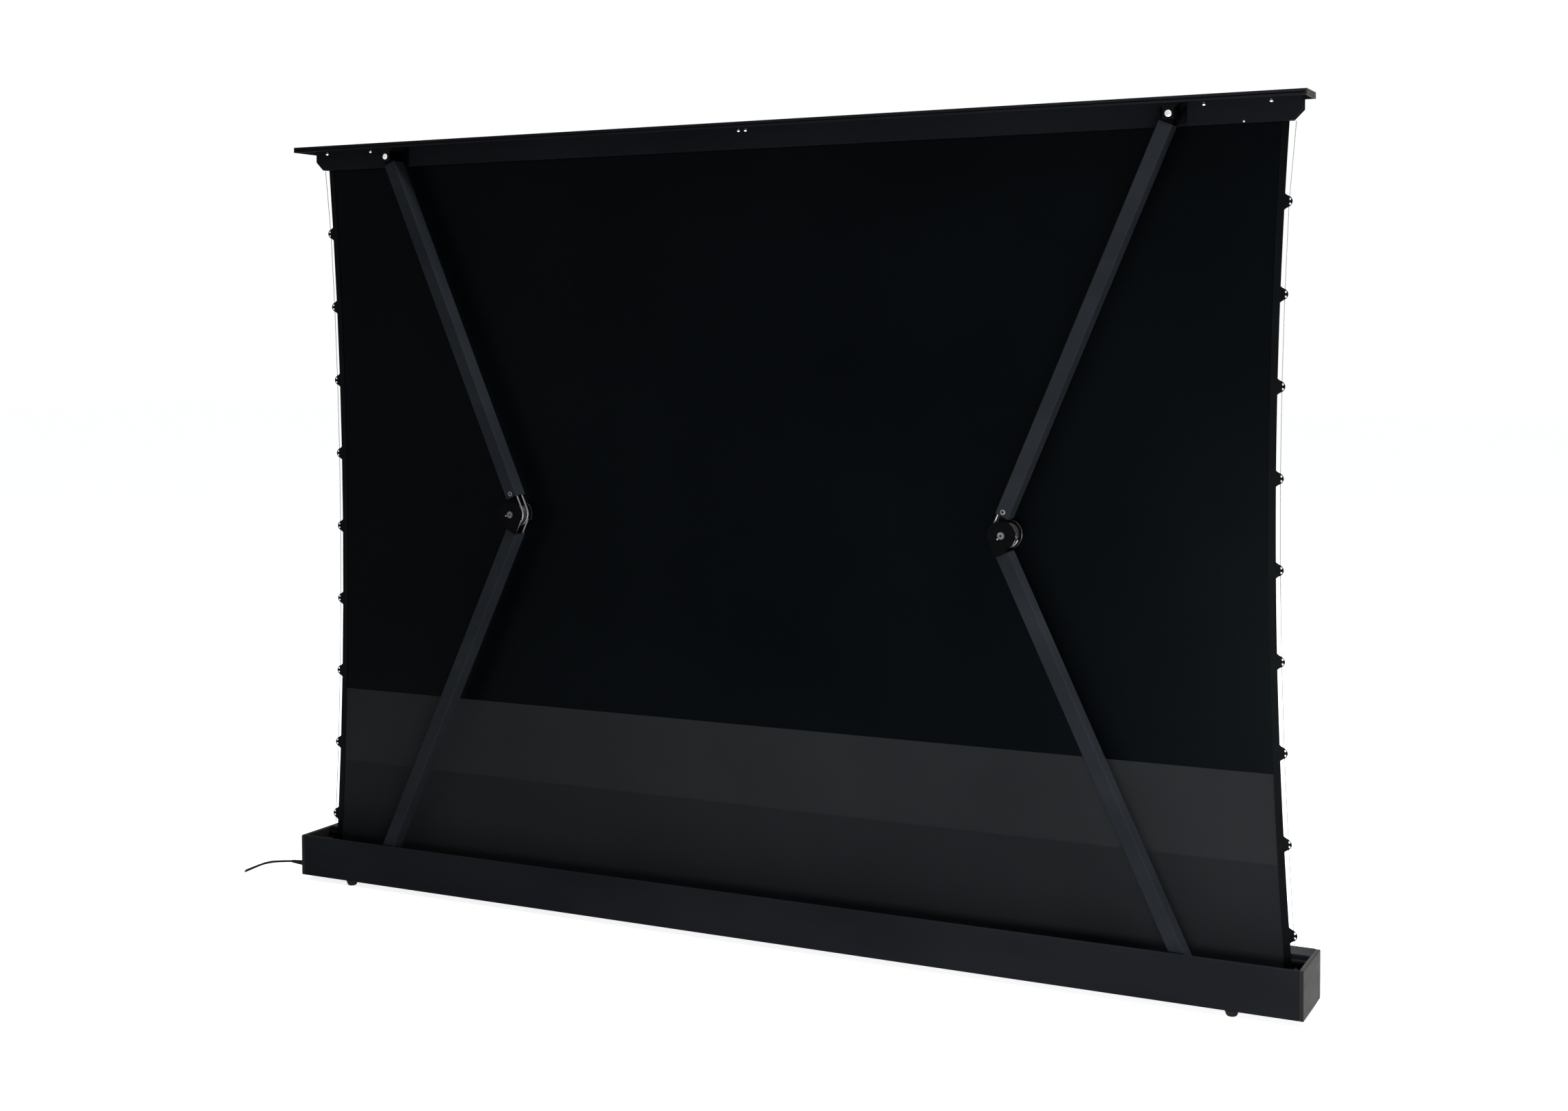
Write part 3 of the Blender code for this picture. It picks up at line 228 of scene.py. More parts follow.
# Plug and tie
PLUG_RELIEF = 0.018
PLUG_RIBS = 5
PLUG_LENGTH = 0.036
PLUG_HALF_WIDTH = 0.013
PLUG_HALF_HEIGHT = 0.00775
PLUG_EDGE = 0.003
PLUG_WAIST = 0.16
PLUG_WAIST_PLACE = 0.38
PLUG_WAIST_LENGTH = 0.2
PLUG_PIN_SPACING = 0.0186
PLUG_PIN_START = 0.003
PLUG_PIN_PROFILE = [
    (0.0, 0.0),
    (0.0, 0.0024),
    (0.0205, 0.0024),
    (0.0214, 0.0021),
    (0.022, 0.0013),
    (0.022, 0.0),
]
TIE_DIRECTION = -38
TIE_ROOM = 0.0008
TIE_LOW = 0.0004
TIE_ROOM_ABOVE = 0.0006
TIE_CORNER = 0.0022
TIE_CORNER_STEPS = 6
TIE_THICKNESS = 0.0005
TIE_HALF_WIDTH = 0.0045


# Camera, light and floor
def make_camera():
    data = bpy.data.cameras.new("camera")
    camera = bpy.data.objects.new("camera", data)
    bpy.context.scene.collection.objects.link(camera)
    data.sensor_width = SENSOR_WIDTH
    data.lens = FOCAL_PIXELS / PHOTO_WIDTH * SENSOR_WIDTH
    data.shift_y = CAMERA_SHIFT_Y
    turn = Matrix.Rotation(math.radians(180 + CAMERA_YAW), 4, "Z")
    tilt = Matrix.Rotation(math.radians(90 - CAMERA_PITCH), 4, "X")
    roll = Matrix.Rotation(math.radians(-CAMERA_ROLL), 4, "Z")
    camera.matrix_world = Matrix.Translation(CAMERA_PLACE) @ turn @ tilt @ roll
    bpy.context.scene.camera = camera
    bpy.context.scene.view_settings.view_transform = "Standard"


def seen_directly(tree):
    """1 for camera, glossy and transmission rays, and 0 for the rest."""
    path = tree.nodes.new("ShaderNodeLightPath")
    total = path.outputs["Is Camera Ray"]
    for name in ("Is Glossy Ray", "Is Transmission Ray"):
        add = tree.nodes.new("ShaderNodeMath")
        add.operation = "MAXIMUM"
        tree.links.new(total, add.inputs[0])
        tree.links.new(path.outputs[name], add.inputs[1])
        total = add.outputs[0]
    return total


def make_world():
    """White where it is seen, and a soft grey light everywhere else."""
    world = bpy.data.worlds.new("studio")
    bpy.context.scene.world = world
    world.use_nodes = True
    tree = world.node_tree
    tree.nodes.clear()
    light = tree.nodes.new("ShaderNodeBackground")
    light.inputs["Color"].default_value = WORLD_TINT
    light.inputs["Strength"].default_value = WORLD_LIGHT
    white = tree.nodes.new("ShaderNodeBackground")
    white.inputs["Color"].default_value = (1, 1, 1, 1)
    mix = tree.nodes.new("ShaderNodeMixShader")
    output = tree.nodes.new("ShaderNodeOutputWorld")
    tree.links.new(seen_directly(tree), mix.inputs["Fac"])
    tree.links.new(light.outputs[0], mix.inputs[1])
    tree.links.new(white.outputs[0], mix.inputs[2])
    tree.links.new(mix.outputs[0], output.inputs["Surface"])


def make_lamp(name, place, target, size, power):
    data = bpy.data.lights.new(name, "AREA")
    data.shape = "RECTANGLE"
    data.size = size[0]
    data.size_y = size[1]
    data.energy = power
    lamp = bpy.data.objects.new(name, data)
    lamp.location = place
    direction = Vector(target) - Vector(place)
    lamp.rotation_euler = direction.to_track_quat("-Z", "Y").to_euler()
    bpy.context.scene.collection.objects.link(lamp)


def make_floor():
    """Pale floor that looks white where no shadow falls on it."""
    mesh = bpy.data.meshes.new("floor")
    reach = FLOOR_REACH
    corners = [(-reach, -reach, 0), (reach, -reach, 0), (reach, reach, 0), (-reach, reach, 0)]
    mesh.from_pydata(corners, [], [(0, 1, 2, 3)])
    floor = bpy.data.objects.new("floor", mesh)
    bpy.context.scene.collection.objects.link(floor)
    material = bpy.data.materials.new("floor")
    material.use_nodes = True
    tree = material.node_tree
    tree.nodes.clear()
    matte = tree.nodes.new("ShaderNodeBsdfDiffuse")
    matte.inputs["Color"].default_value = (FLOOR_COLOUR, FLOOR_COLOUR, FLOOR_COLOUR, 1)
    glow = tree.nodes.new("ShaderNodeEmission")
    tree.links.new(seen_directly(tree), glow.inputs["Strength"])
    glow.inputs["Color"].default_value = (FLOOR_GLOW, FLOOR_GLOW, FLOOR_GLOW, 1)
    both = tree.nodes.new("ShaderNodeAddShader")
    output = tree.nodes.new("ShaderNodeOutputMaterial")
    tree.links.new(matte.outputs[0], both.inputs[0])
    tree.links.new(glow.outputs[0], both.inputs[1])
    tree.links.new(both.outputs[0], output.inputs["Surface"])
    mesh.materials.append(material)


# Shading
class Shading:
    """A material with one Principled shader, and short ways to add nodes to it."""

    def __init__(self, name, roughness, metallic=0.0, specular=0.5, tint=(1, 1, 1)):
        self.material = bpy.data.materials.new(name)
        self.material.use_nodes = True
        self.tree = self.material.node_tree
        self.shader = self.tree.nodes["Principled BSDF"]
        self.shader.inputs["Roughness"].default_value = roughness
        self.shader.inputs["Metallic"].default_value = metallic
        self.shader.inputs["Specular IOR Level"].default_value = specular
        self.shader.inputs["Specular Tint"].default_value = (*tint, 1)
        self.place = self.tree.nodes.new("ShaderNodeTexCoord").outputs["Object"]
        self.height = None

    def link(self, output, target):
        self.tree.links.new(output, target)

    def scaled(self, scale):
        mapping = self.tree.nodes.new("ShaderNodeMapping")
        mapping.inputs["Scale"].default_value = scale
        self.link(self.place, mapping.inputs["Vector"])
        return mapping.outputs["Vector"]

    def noise(self, scale, detail, stretch=(1, 1, 1)):
        node = self.tree.nodes.new("ShaderNodeTexNoise")
        node.inputs["Scale"].default_value = scale
        node.inputs["Detail"].default_value = detail
        self.link(self.scaled(stretch), node.inputs["Vector"])
        return node.outputs["Fac"]

    def wave(self, scale, direction, distortion=0.0):
        node = self.tree.nodes.new("ShaderNodeTexWave")
        node.bands_direction = direction
        node.inputs["Scale"].default_value = scale
        node.inputs["Distortion"].default_value = distortion
        self.link(self.place, node.inputs["Vector"])
        return node.outputs["Fac"]

    def spread(self, value, low, high, target):
        """Maps a 0 to 1 value onto low to high, for a socket."""
        node = self.tree.nodes.new("ShaderNodeMapRange")
        node.inputs["To Min"].default_value = low
        node.inputs["To Max"].default_value = high
        self.link(value, node.inputs["Value"])
        self.link(node.outputs["Result"], self.shader.inputs[target])

    def colour(self, value, dark, light):
        """Base colour from dark to light, over the middle of a 0 to 1 value."""
        node = self.tree.nodes.new("ShaderNodeValToRGB")
        stops = ((0.3, dark), (0.7, light))
        for element, (position, tone) in zip(node.color_ramp.elements, stops):
            element.position = position
            element.color = (*tone, 1)
        self.link(value, node.inputs["Fac"])
        self.link(node.outputs["Color"], self.shader.inputs["Base Color"])

    def bump(self, value, strength, distance):
        """Adds a bump on top of the ones before it."""
        node = self.tree.nodes.new("ShaderNodeBump")
        node.inputs["Strength"].default_value = strength
        node.inputs["Distance"].default_value = distance
        self.link(value, node.inputs["Height"])
        if self.height is not None:
            self.link(self.height, node.inputs["Normal"])
        self.height = node.outputs["Normal"]
        self.link(self.height, self.shader.inputs["Normal"])

    def weave(self, strength):
        """Threads both ways."""
        for direction in ("X", "Z"):
            self.bump(self.wave(900.0, direction, 0.4), strength, 0.0002)


def painted(name, dark, light, roughness, specular=0.04):
    """Fine powder coat: slow changes of tone, and a tight grain."""
    look = Shading(name, roughness, specular=specular)
    look.colour(look.noise(3.0, 4.0, (1, 3, 3)), dark, light)
    look.spread(look.noise(40.0, 3.0), roughness - 0.06, roughness + 0.08, "Roughness")
    look.bump(look.noise(2600.0, 2.0), 0.12, 0.0004)
    look.bump(look.noise(220.0, 3.0), 0.05, 0.0006)
    return look.material


def cast_metal(name, dark, light, roughness, metallic, specular=0.5):
    look = Shading(name, roughness, metallic, specular)
    look.colour(look.noise(90.0, 5.0), dark, light)
    look.spread(look.noise(140.0, 4.0), roughness - 0.08, roughness + 0.12, "Roughness")
    look.bump(look.noise(900.0, 4.0), 0.18, 0.0005)
    return look.material


def drawn_metal(name, dark, light, roughness, stretch):
    """Turned or drawn metal, with fine lines along it."""
    look = Shading(name, roughness, 1.0)
    lines = look.noise(160.0, 4.0, stretch)
    look.colour(lines, dark, light)
    look.spread(lines, roughness - 0.06, roughness + 0.1, "Roughness")
    look.bump(lines, 0.08, 0.0003)
    return look.material


def plastic(name, dark, light, roughness):
    look = Shading(name, roughness, specular=0.12)
    look.colour(look.noise(60.0, 4.0), dark, light)
    look.spread(look.noise(500.0, 2.0), roughness - 0.05, roughness + 0.08, "Roughness")
    look.bump(look.noise(1500.0, 3.0), 0.14, 0.0004)
    return look.material


def glossy_cloth():
    """Black coated back of the picture cloth: smooth, with a trace of weave."""
    look = Shading("glossy_back", 0.32, specular=0.02, tint=(0.66, 0.86, 1.0))
    look.colour(look.noise(2.2, 3.0), (0.0007, 0.0010, 0.0013), (0.0013, 0.0017, 0.0021))
    look.spread(look.noise(5.0, 3.0, (1, 1, 0.4)), 0.28, 0.36, "Roughness")
    look.bump(look.wave(1500.0, "X"), 0.03, 0.0002)
    look.bump(look.noise(1.3, 2.0, (2.5, 1, 0.5)), 0.1, 0.004)
    return look.material


def matte_cloth(name, dark, light):
    """Woven and matte cloth of the lower sheet."""
    look = Shading(name, 0.5, specular=0.02, tint=(0.8, 0.93, 1.0))
    look.colour(look.noise(2.0, 4.0), dark, light)
    look.weave(0.25)
    look.bump(look.noise(1.2, 2.0, (2.5, 1, 0.6)), 0.1, 0.003)
    return look.material


def picture_cloth():
    """Pale grey picture side, ribbed across in very fine lines."""
    look = Shading("picture_side", 0.55, specular=0.35)
    look.colour(look.noise(1.6, 3.0), (0.50, 0.505, 0.515), (0.55, 0.555, 0.565))
    look.bump(look.wave(700.0, "Z"), 0.25, 0.0002)
    look.bump(look.noise(2400.0, 2.0), 0.1, 0.0002)
    return look.material


def border_cloth():
    look = Shading("picture_border", 0.62, specular=0.25)
    look.colour(look.noise(30.0, 4.0), (0.007, 0.007, 0.0075), (0.012, 0.012, 0.0125))
    look.weave(0.2)
    return look.material


def strip_vinyl():
    look = Shading("edge_strip", 0.42, specular=0.03, tint=(0.8, 0.93, 1.0))
    look.colour(look.noise(20.0, 4.0), (0.0008, 0.0009, 0.0010), (0.0016, 0.0018, 0.0020))
    look.spread(look.noise(60.0, 3.0), 0.38, 0.5, "Roughness")
    look.bump(look.noise(300.0, 3.0, (1, 1, 0.3)), 0.1, 0.0003)
    return look.material


def braided_cord():
    look = Shading("tension_cord", 0.6, specular=0.4)
    look.colour(look.noise(400.0, 3.0), (0.17, 0.17, 0.17), (0.26, 0.26, 0.255))
    look.bump(look.wave(500.0, "DIAGONAL", 1.0), 0.5, 0.0003)
    return look.material


def lead_rubber():
    look = Shading("lead_rubber", 0.55, specular=0.1)
    look.colour(look.noise(120.0, 3.0), (0.0025, 0.0025, 0.0028), (0.0048, 0.0048, 0.0052))
    look.spread(look.noise(200.0, 3.0), 0.5, 0.65, "Roughness")
    look.bump(look.noise(1200.0, 2.0), 0.12, 0.0003)
    return look.material


# Name, dark tone and light tone, then roughness, metallic share and gloss or stretch as needed
PAINTS = {
    "case": ("case_paint", (0.0064, 0.0073, 0.0090), (0.0090, 0.0102, 0.0122), 0.42, 0.008),
    "arm": ("arm_paint", (0.0108, 0.0126, 0.0156), (0.0148, 0.0169, 0.0200), 0.42, 0.008),
    "cap": ("cap_paint", (0.0100, 0.0095, 0.0088), (0.0140, 0.0132, 0.0122), 0.5),
}
PLASTICS = {
    "plastic": ("black_plastic", (0.0035, 0.0035, 0.0038), (0.0065, 0.0065, 0.007), 0.5),
    "rubber": ("foot_rubber", (0.0025, 0.0025, 0.0025), (0.005, 0.005, 0.005), 0.65),
}
CASTINGS = {
    "black_steel": ("black_steel", (0.0014, 0.0015, 0.0018), (0.0030, 0.0031, 0.0035), 0.4, 0.0, 0.04),
    "casting": ("black_casting", (0.0006, 0.0007, 0.0009), (0.0014, 0.0015, 0.0018), 0.42, 0.0, 0.02),
    "bright_casting": ("bright_casting", (0.16, 0.16, 0.165), (0.28, 0.28, 0.285), 0.34, 1.0),
    "zinc": ("zinc_steel", (0.45, 0.46, 0.48), (0.66, 0.67, 0.69), 0.36, 1.0),
}
DRAWN_METALS = {
    "steel": ("steel", (0.42, 0.42, 0.43), (0.62, 0.62, 0.63), 0.28, (1, 1, 1)),
    "screw": ("screw_steel", (0.62, 0.62, 0.62), (0.82, 0.82, 0.82), 0.22, (1, 1, 4)),
    "bolt": ("bolt_steel", (0.08, 0.08, 0.083), (0.15, 0.15, 0.153), 0.42, (1, 1, 1)),
    "cable": ("steel_cable", (0.13, 0.13, 0.135), (0.22, 0.22, 0.225), 0.4, (4, 4, 4)),
}
MATTE_CLOTHS = {
    "drop": ("lower_fabric", (0.0112, 0.0120, 0.0134), (0.0152, 0.0161, 0.0176)),
    "foot_cloth": ("foot_fabric", (0.0080, 0.0087, 0.0099), (0.0112, 0.0120, 0.0134)),
}


def make_materials():
    looks = {}
    for make, table in (
        (painted, PAINTS),
        (plastic, PLASTICS),
        (cast_metal, CASTINGS),
        (drawn_metal, DRAWN_METALS),
        (matte_cloth, MATTE_CLOTHS),
    ):
        for key, values in table.items():
            looks[key] = make(*values)
    looks["back"] = glossy_cloth()
    looks["picture"] = picture_cloth()
    looks["border"] = border_cloth()
    looks["strip"] = strip_vinyl()
    looks["cord"] = braided_cord()
    looks["lead"] = lead_rubber()
    return looks


NODE_LOOKS = {
    "case_profile": "case",
    "roller_cover": "case",
    "end_cap_left": "cap",
    "end_cap_right": "cap",
    "lid_profile": "case",
    "lid_cap_left": "cap",
    "lid_cap_right": "cap",
    "beam_left": "case",
    "beam_middle": "case",
    "beam_right": "case",
    "foot_rear_left": "rubber",
    "foot_rear_right": "rubber",
    "foot_front_left": "rubber",
    "foot_front_right": "rubber",
    "idle_bracket": "zinc",
    "motor_bracket": "zinc",
    "tubular_motor": "black_steel",
    "control_box": "plastic",
    "roller_tube": "zinc",
    "idle_plug": "plastic",
    "drive_wheel": "plastic",
}
ARM_LOOKS = {
    "base_bracket": "black_steel",
    "top_bracket": "black_steel",
    "base_pin": "screw",
    "top_pin": "screw",
    "lower_tube": "arm",
    "upper_tube": "arm",
    "base_knuckle": "casting",
    "top_knuckle": "casting",
    "elbow_fork": "casting",
    "elbow_hub": "casting",
    "elbow_bolt": "bolt",
    "lower_cable": "cable",
    "upper_cable": "cable",
    "arm_spring": "steel",
}


def dress_nodes(looks):
    """Gives every solid that stays in view its material."""
    chosen = dict(NODE_LOOKS)
    for side_name, side in SIDES:
        for name, look in ARM_LOOKS.items():
            chosen[f"{side_name}_{name}"] = look
    for name, look in chosen.items():
        item = NODES[name]
        item.data.materials.clear()
        item.data.materials.append(looks[look])
    for side_name, side in SIDES:
        hub = NODES[f"{side_name}_elbow_hub"]
        hub.data.materials.append(looks["bright_casting"])
        axis = elbow_point(side, 0)
        for polygon in hub.data.polygons:
            across = hub.matrix_world @ polygon.center - axis
            if math.hypot(across.x, across.z) < HUB_EDGE:
                polygon.material_index = 1


# Mesh helpers
def at_depth(depth):
    return REAR_FACE - depth


def at_height(height):
    return UNDERSIDE + height


def at_inset(side, inset):
    return side * (HALF_LENGTH - inset)


def finish_piece(name, mesh, material, body, smooth_angle=35):
    """Object from a bmesh, which rides on a body. The material may be a list."""
    data = bpy.data.meshes.new(name)
    bmesh.ops.recalc_face_normals(mesh, faces=mesh.faces)
    mesh.to_mesh(data)
    mesh.free()
    item = bpy.data.objects.new(name, data)
    bpy.context.scene.collection.objects.link(item)
    for one in material if isinstance(material, list) else [material]:
        data.materials.append(one)
    for polygon in data.polygons:
        polygon.use_smooth = True
    data.set_sharp_from_angle(angle=math.radians(smooth_angle))
    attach(item, body)
    return item


def lathe(mesh, profile, sides, place):
    """Adds a turned form to a mesh. The profile holds (along, radius) pairs."""
    rings = []
    for along, radius in profile:
        if radius == 0:
            rings.append([mesh.verts.new(place(0, 0, along))])
            continue
        ring = []
        for step in range(sides):
            angle = 2 * math.pi * step / sides
            point = place(radius * math.cos(angle), radius * math.sin(angle), along)
            ring.append(mesh.verts.new(point))
        rings.append(ring)
    for low, high in zip(rings, rings[1:]):
        for step in range(sides):
            after = (step + 1) % sides
            if len(low) == 1:
                mesh.faces.new((low[0], high[after], high[step]))
            elif len(high) == 1:
                mesh.faces.new((low[step], low[after], high[0]))
            else:
                mesh.faces.new((low[step], low[after], high[after], high[step]))


def axis_place(origin, axis):
    """Turns (a, b, along) into a point, with along on the axis from the origin."""
    axis = Vector(axis).normalized()
    side = axis.orthogonal().normalized()
    other = axis.cross(side)
    origin = Vector(origin)
    return lambda a, b, along: origin + side * a + other * b + axis * along


def sweep(mesh, points, radius, sides):
    """Adds a round rod along points, with no twist."""
    points = [Vector(p) for p in points]
    tangents = []
    for i in range(len(points)):
        low = points[max(0, i - 1)]
        high = points[min(len(points) - 1, i + 1)]
        tangents.append((high - low).normalized())
    normal = tangents[0].orthogonal().normalized()
    rings = []
    for point, tangent in zip(points, tangents):
        normal = (normal - tangent * normal.dot(tangent)).normalized()
        other = tangent.cross(normal)
        ring = []
        for step in range(sides):
            angle = 2 * math.pi * step / sides
            offset = normal * math.cos(angle) + other * math.sin(angle)
            ring.append(mesh.verts.new(point + offset * radius))
        rings.append(ring)
    for low, high in zip(rings, rings[1:]):
        for step in range(sides):
            after = (step + 1) % sides
            mesh.faces.new((low[step], low[after], high[after], high[step]))
    mesh.faces.new(rings[0])
    mesh.faces.new(rings[-1])


# Fabric
def fabric_share(height):
    return (height - ROLLER_HEIGHT) / (BEAM_BOTTOM - ROLLER_HEIGHT)


def fabric_depth(height):
    share = fabric_share(height)
    return FABRIC_DEPTH_LOW + (FABRIC_DEPTH_HIGH - FABRIC_DEPTH_LOW) * share


def fabric_inset(height):
    share = fabric_share(height)
    straight = FABRIC_INSET_LOW + (FABRIC_INSET_HIGH - FABRIC_INSET_LOW) * share
    return straight + 4 * FABRIC_WAIST * share * (1 - share)


def on_fabric(x, height, forward):
    return Vector((x, at_depth(fabric_depth(height)) - forward, at_height(height)))


def fold_with_arms(item):
    """Gives the piece its own copy of its mesh."""
    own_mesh(item)


def cloth_mesh(heights, columns, front_material):
    """Thin cloth between hollow edges: rows at heights, fixed columns and one at each edge."""
    mesh = bmesh.new()
    sides = []
    for forward in (0.0, FABRIC_THICKNESS):
        rows = []
        for height in heights:
            edge = HALF_LENGTH - fabric_inset(height)
            places = [-edge] + list(columns) + [edge]
            rows.append([mesh.verts.new(on_fabric(x, height, forward)) for x in places])
        sides.append(rows)
    for index, rows in enumerate(sides):
        for r in range(len(rows) - 1):
            for c in range(len(rows[0]) - 1):
                corners = (rows[r][c], rows[r][c + 1], rows[r + 1][c + 1], rows[r + 1][c])
                face = mesh.faces.new(corners)
                if index == 1:
                    x = (rows[r][c].co.x + rows[r][c + 1].co.x) / 2
                    z = (rows[r][c].co.z + rows[r + 1][c].co.z) / 2
                    face.material_index = front_material(x, z)
    rear, front = sides
    border = [(rear[0], front[0]), (rear[-1], front[-1])]
    border.append(([row[0] for row in rear], [row[0] for row in front]))
    border.append(([row[-1] for row in rear], [row[-1] for row in front]))
    for back_line, front_line in border:
        for i in range(len(back_line) - 1):
            mesh.faces.new((back_line[i], back_line[i + 1], front_line[i + 1], front_line[i]))
    return mesh


def evenly(low, high, count):
    return [low + (high - low) * i / count for i in range(count + 1)]


def build_cloth(looks):
    """The picture sheet with its border, and the lower sheet of two tones below it."""
    heights = [SHEET_SPLIT] + evenly(PICTURE_LOW, PICTURE_HIGH, CLOTH_CELLS) + [SHEET_TOP]
    columns = evenly(-PICTURE_HALF_WIDTH, PICTURE_HALF_WIDTH, CLOTH_CELLS)
    low_z = at_height(PICTURE_LOW)
    high_z = at_height(PICTURE_HIGH)

    def front_face(x, z):
        inside = abs(x) < PICTURE_HALF_WIDTH and low_z < z < high_z
        return 1 if inside else 2

    mesh = cloth_mesh(heights, columns, front_face)
    parts = [looks["back"], looks["picture"], looks["border"]]
    item = finish_piece("picture_sheet", mesh, parts, "case")
    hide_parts("screen_surface")
    fold_with_arms(item)

    heights = evenly(ROLLER_HEIGHT, SECOND_JOIN, LOWER_CELLS)
    heights += evenly(SECOND_JOIN, SHEET_SPLIT, LOWER_CELLS)[1:]
    mesh = cloth_mesh(heights, columns, lambda x, z: 1)
    join_z = at_height(SECOND_JOIN)
    for face in mesh.faces:
        if face.material_index == 0 and face.calc_center_median().z < join_z:
            face.material_index = 2
    parts = [looks["drop"], looks["border"], looks["foot_cloth"]]
    item = finish_piece("lower_sheet", mesh, parts, "case")
    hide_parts("lower_drop")
    fold_with_arms(item)


def tab_heights():
    return evenly(TAB_FIRST, TAB_LAST, TAB_COUNT - 1)


def strip_outline(side):
    """Edge strip with its tabs, as points of x and height."""
    rising = [(-place, reach) for place, reach in reversed(TAB_SHARES)]
    high = BEAM_BOTTOM - 2 * STRIP_GAP
    stops = [(ROLLER_HEIGHT, 0.0)]
    for height in tab_heights():
        for place, reach in rising + [(0.0, 1.0)] + TAB_SHARES:
            stops.append((height + TAB_HALF_HEIGHT * place, TAB_REACH * reach))
    stops.append((high, 0.0))
    points = [(at_inset(side, fabric_inset(h) - reach), h) for h, reach in stops]
    for height in evenly(high, ROLLER_HEIGHT, STRIP_CELLS):
        points.append((at_inset(side, fabric_inset(height) + STRIP_WIDTH), height))
    return points


def eyelet_places(side):
    """Middles of the two small holes in each tab."""
    places = []
    for height in tab_heights():
        x = at_inset(side, fabric_inset(height) - EYELET_OUTSET)
        places += [(x, height - EYELET_RISE), (x, height + EYELET_RISE)]
    return places


def round_outline(x, height, radius, sides):
    turns = [2 * math.pi * i / sides for i in range(sides)]
    return [(x + radius * math.cos(a), height + radius * math.sin(a)) for a in turns]


def build_strip(side_name, side, looks):
    """Welded edge strip whose tabs carry two holes each, cut as one flat plate."""
    curve = bpy.data.curves.new("strip_outline", "CURVE")
    curve.dimensions = "2D"
    curve.fill_mode = "BOTH"
    curve.extrude = STRIP_THICKNESS / 2
    outlines = [strip_outline(side)]
    for x, height in eyelet_places(side):
        outlines.append(round_outline(x, height, EYELET_RADIUS, 12))
    for outline in outlines:
        spline = curve.splines.new("POLY")
        spline.points.add(len(outline) - 1)
        spline.use_cyclic_u = True
        for point, (x, height) in zip(spline.points, outline):
            point.co = (x, height, 0, 1)
    plate = bpy.data.objects.new("strip_outline", curve)
    bpy.context.scene.collection.objects.link(plate)
    shape = plate.to_mesh()
    mesh = bmesh.new()
    mesh.from_mesh(shape)
    plate.to_mesh_clear()
    bpy.data.objects.remove(plate)
    bmesh.ops.remove_doubles(mesh, verts=mesh.verts, dist=STRIP_MERGE)
    for vert in mesh.verts:
        x, height, across = vert.co
        behind = STRIP_GAP + STRIP_THICKNESS / 2 + across
        vert.co = on_fabric(x, height, -behind)
    item = finish_piece(f"edge_strip_{side_name}", mesh, looks["strip"], "case", 40)
    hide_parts(f"tab_strip_{side_name}")
    fold_with_arms(item)


def build_tension_cord(side_name, side, looks):
    """Cord on the audience's side of the tabs, which shows in their two holes."""
    low = TAB_FIRST - TAB_HALF_HEIGHT - CORD_TAIL
    high = BEAM_BOTTOM - 2 * STRIP_GAP
    stops = [(low, CORD_OUTSET)]
    stops += [(h, CORD_OUTSET) for h in tab_heights()]
    stops.append((high, CORD_OUTSET_TOP))
    points = []
    for (h0, out0), (h1, out1) in zip(stops, stops[1:]):
        inset0 = fabric_inset(h0) - out0
        inset1 = fabric_inset(h1) - out1
        for t in (0.0, 0.25, 0.5, 0.75):
            height = h0 + (h1 - h0) * t
            inset = inset0 + (inset1 - inset0) * t
            points.append(on_fabric(at_inset(side, inset), height, CORD_FORWARD))
    end_x = at_inset(side, fabric_inset(high) - CORD_OUTSET_TOP)
    points.append(on_fabric(end_x, high, CORD_FORWARD))
    mesh = bmesh.new()
    sweep(mesh, points, CORD_RADIUS, 8)
    item = finish_piece(f"tight_cord_{side_name}", mesh, looks["cord"], "case")
    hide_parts(f"tension_cord_{side_name}")
    fold_with_arms(item)


def build_roll(looks):
    """Cloth wound on the roller, as one scroll whose outer end meets the lower sheet."""
    steps = ROLL_STEPS_PER_TURN * ROLL_TURNS
    centre_y = at_depth(ROLLER_DEPTH)
    centre_z = at_height(ROLLER_HEIGHT)
    half = HALF_LENGTH - fabric_inset(ROLLER_HEIGHT)
    mesh = bmesh.new()
    lines = []
    for step in range(steps + 1):
        angle = 2 * math.pi * ROLL_TURNS * (step / steps - 1)
        radius = ROLL_INNER_RADIUS + ROLL_PITCH * ROLL_TURNS * step / steps
        ring = []
        for extra in (0.0, ROLL_LAYER):
            y = centre_y + (radius + extra) * math.cos(angle)
            z = centre_z + (radius + extra) * math.sin(angle)
            ring.append([mesh.verts.new((x, y, z)) for x in (-half, half)])
        lines.append(ring)
    for a, b in zip(lines, lines[1:]):
        for layer in (0, 1):
            mesh.faces.new((a[layer][0], a[layer][1], b[layer][1], b[layer][0]))
        for end in (0, 1):
            mesh.faces.new((a[0][end], a[1][end], b[1][end], b[0][end]))
    for ring in (lines[0], lines[-1]):
        mesh.faces.new((ring[0][0], ring[0][1], ring[1][1], ring[1][0]))
    item = finish_piece("wound_cloth", mesh, looks["foot_cloth"], "roller")
    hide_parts("fabric_roll")


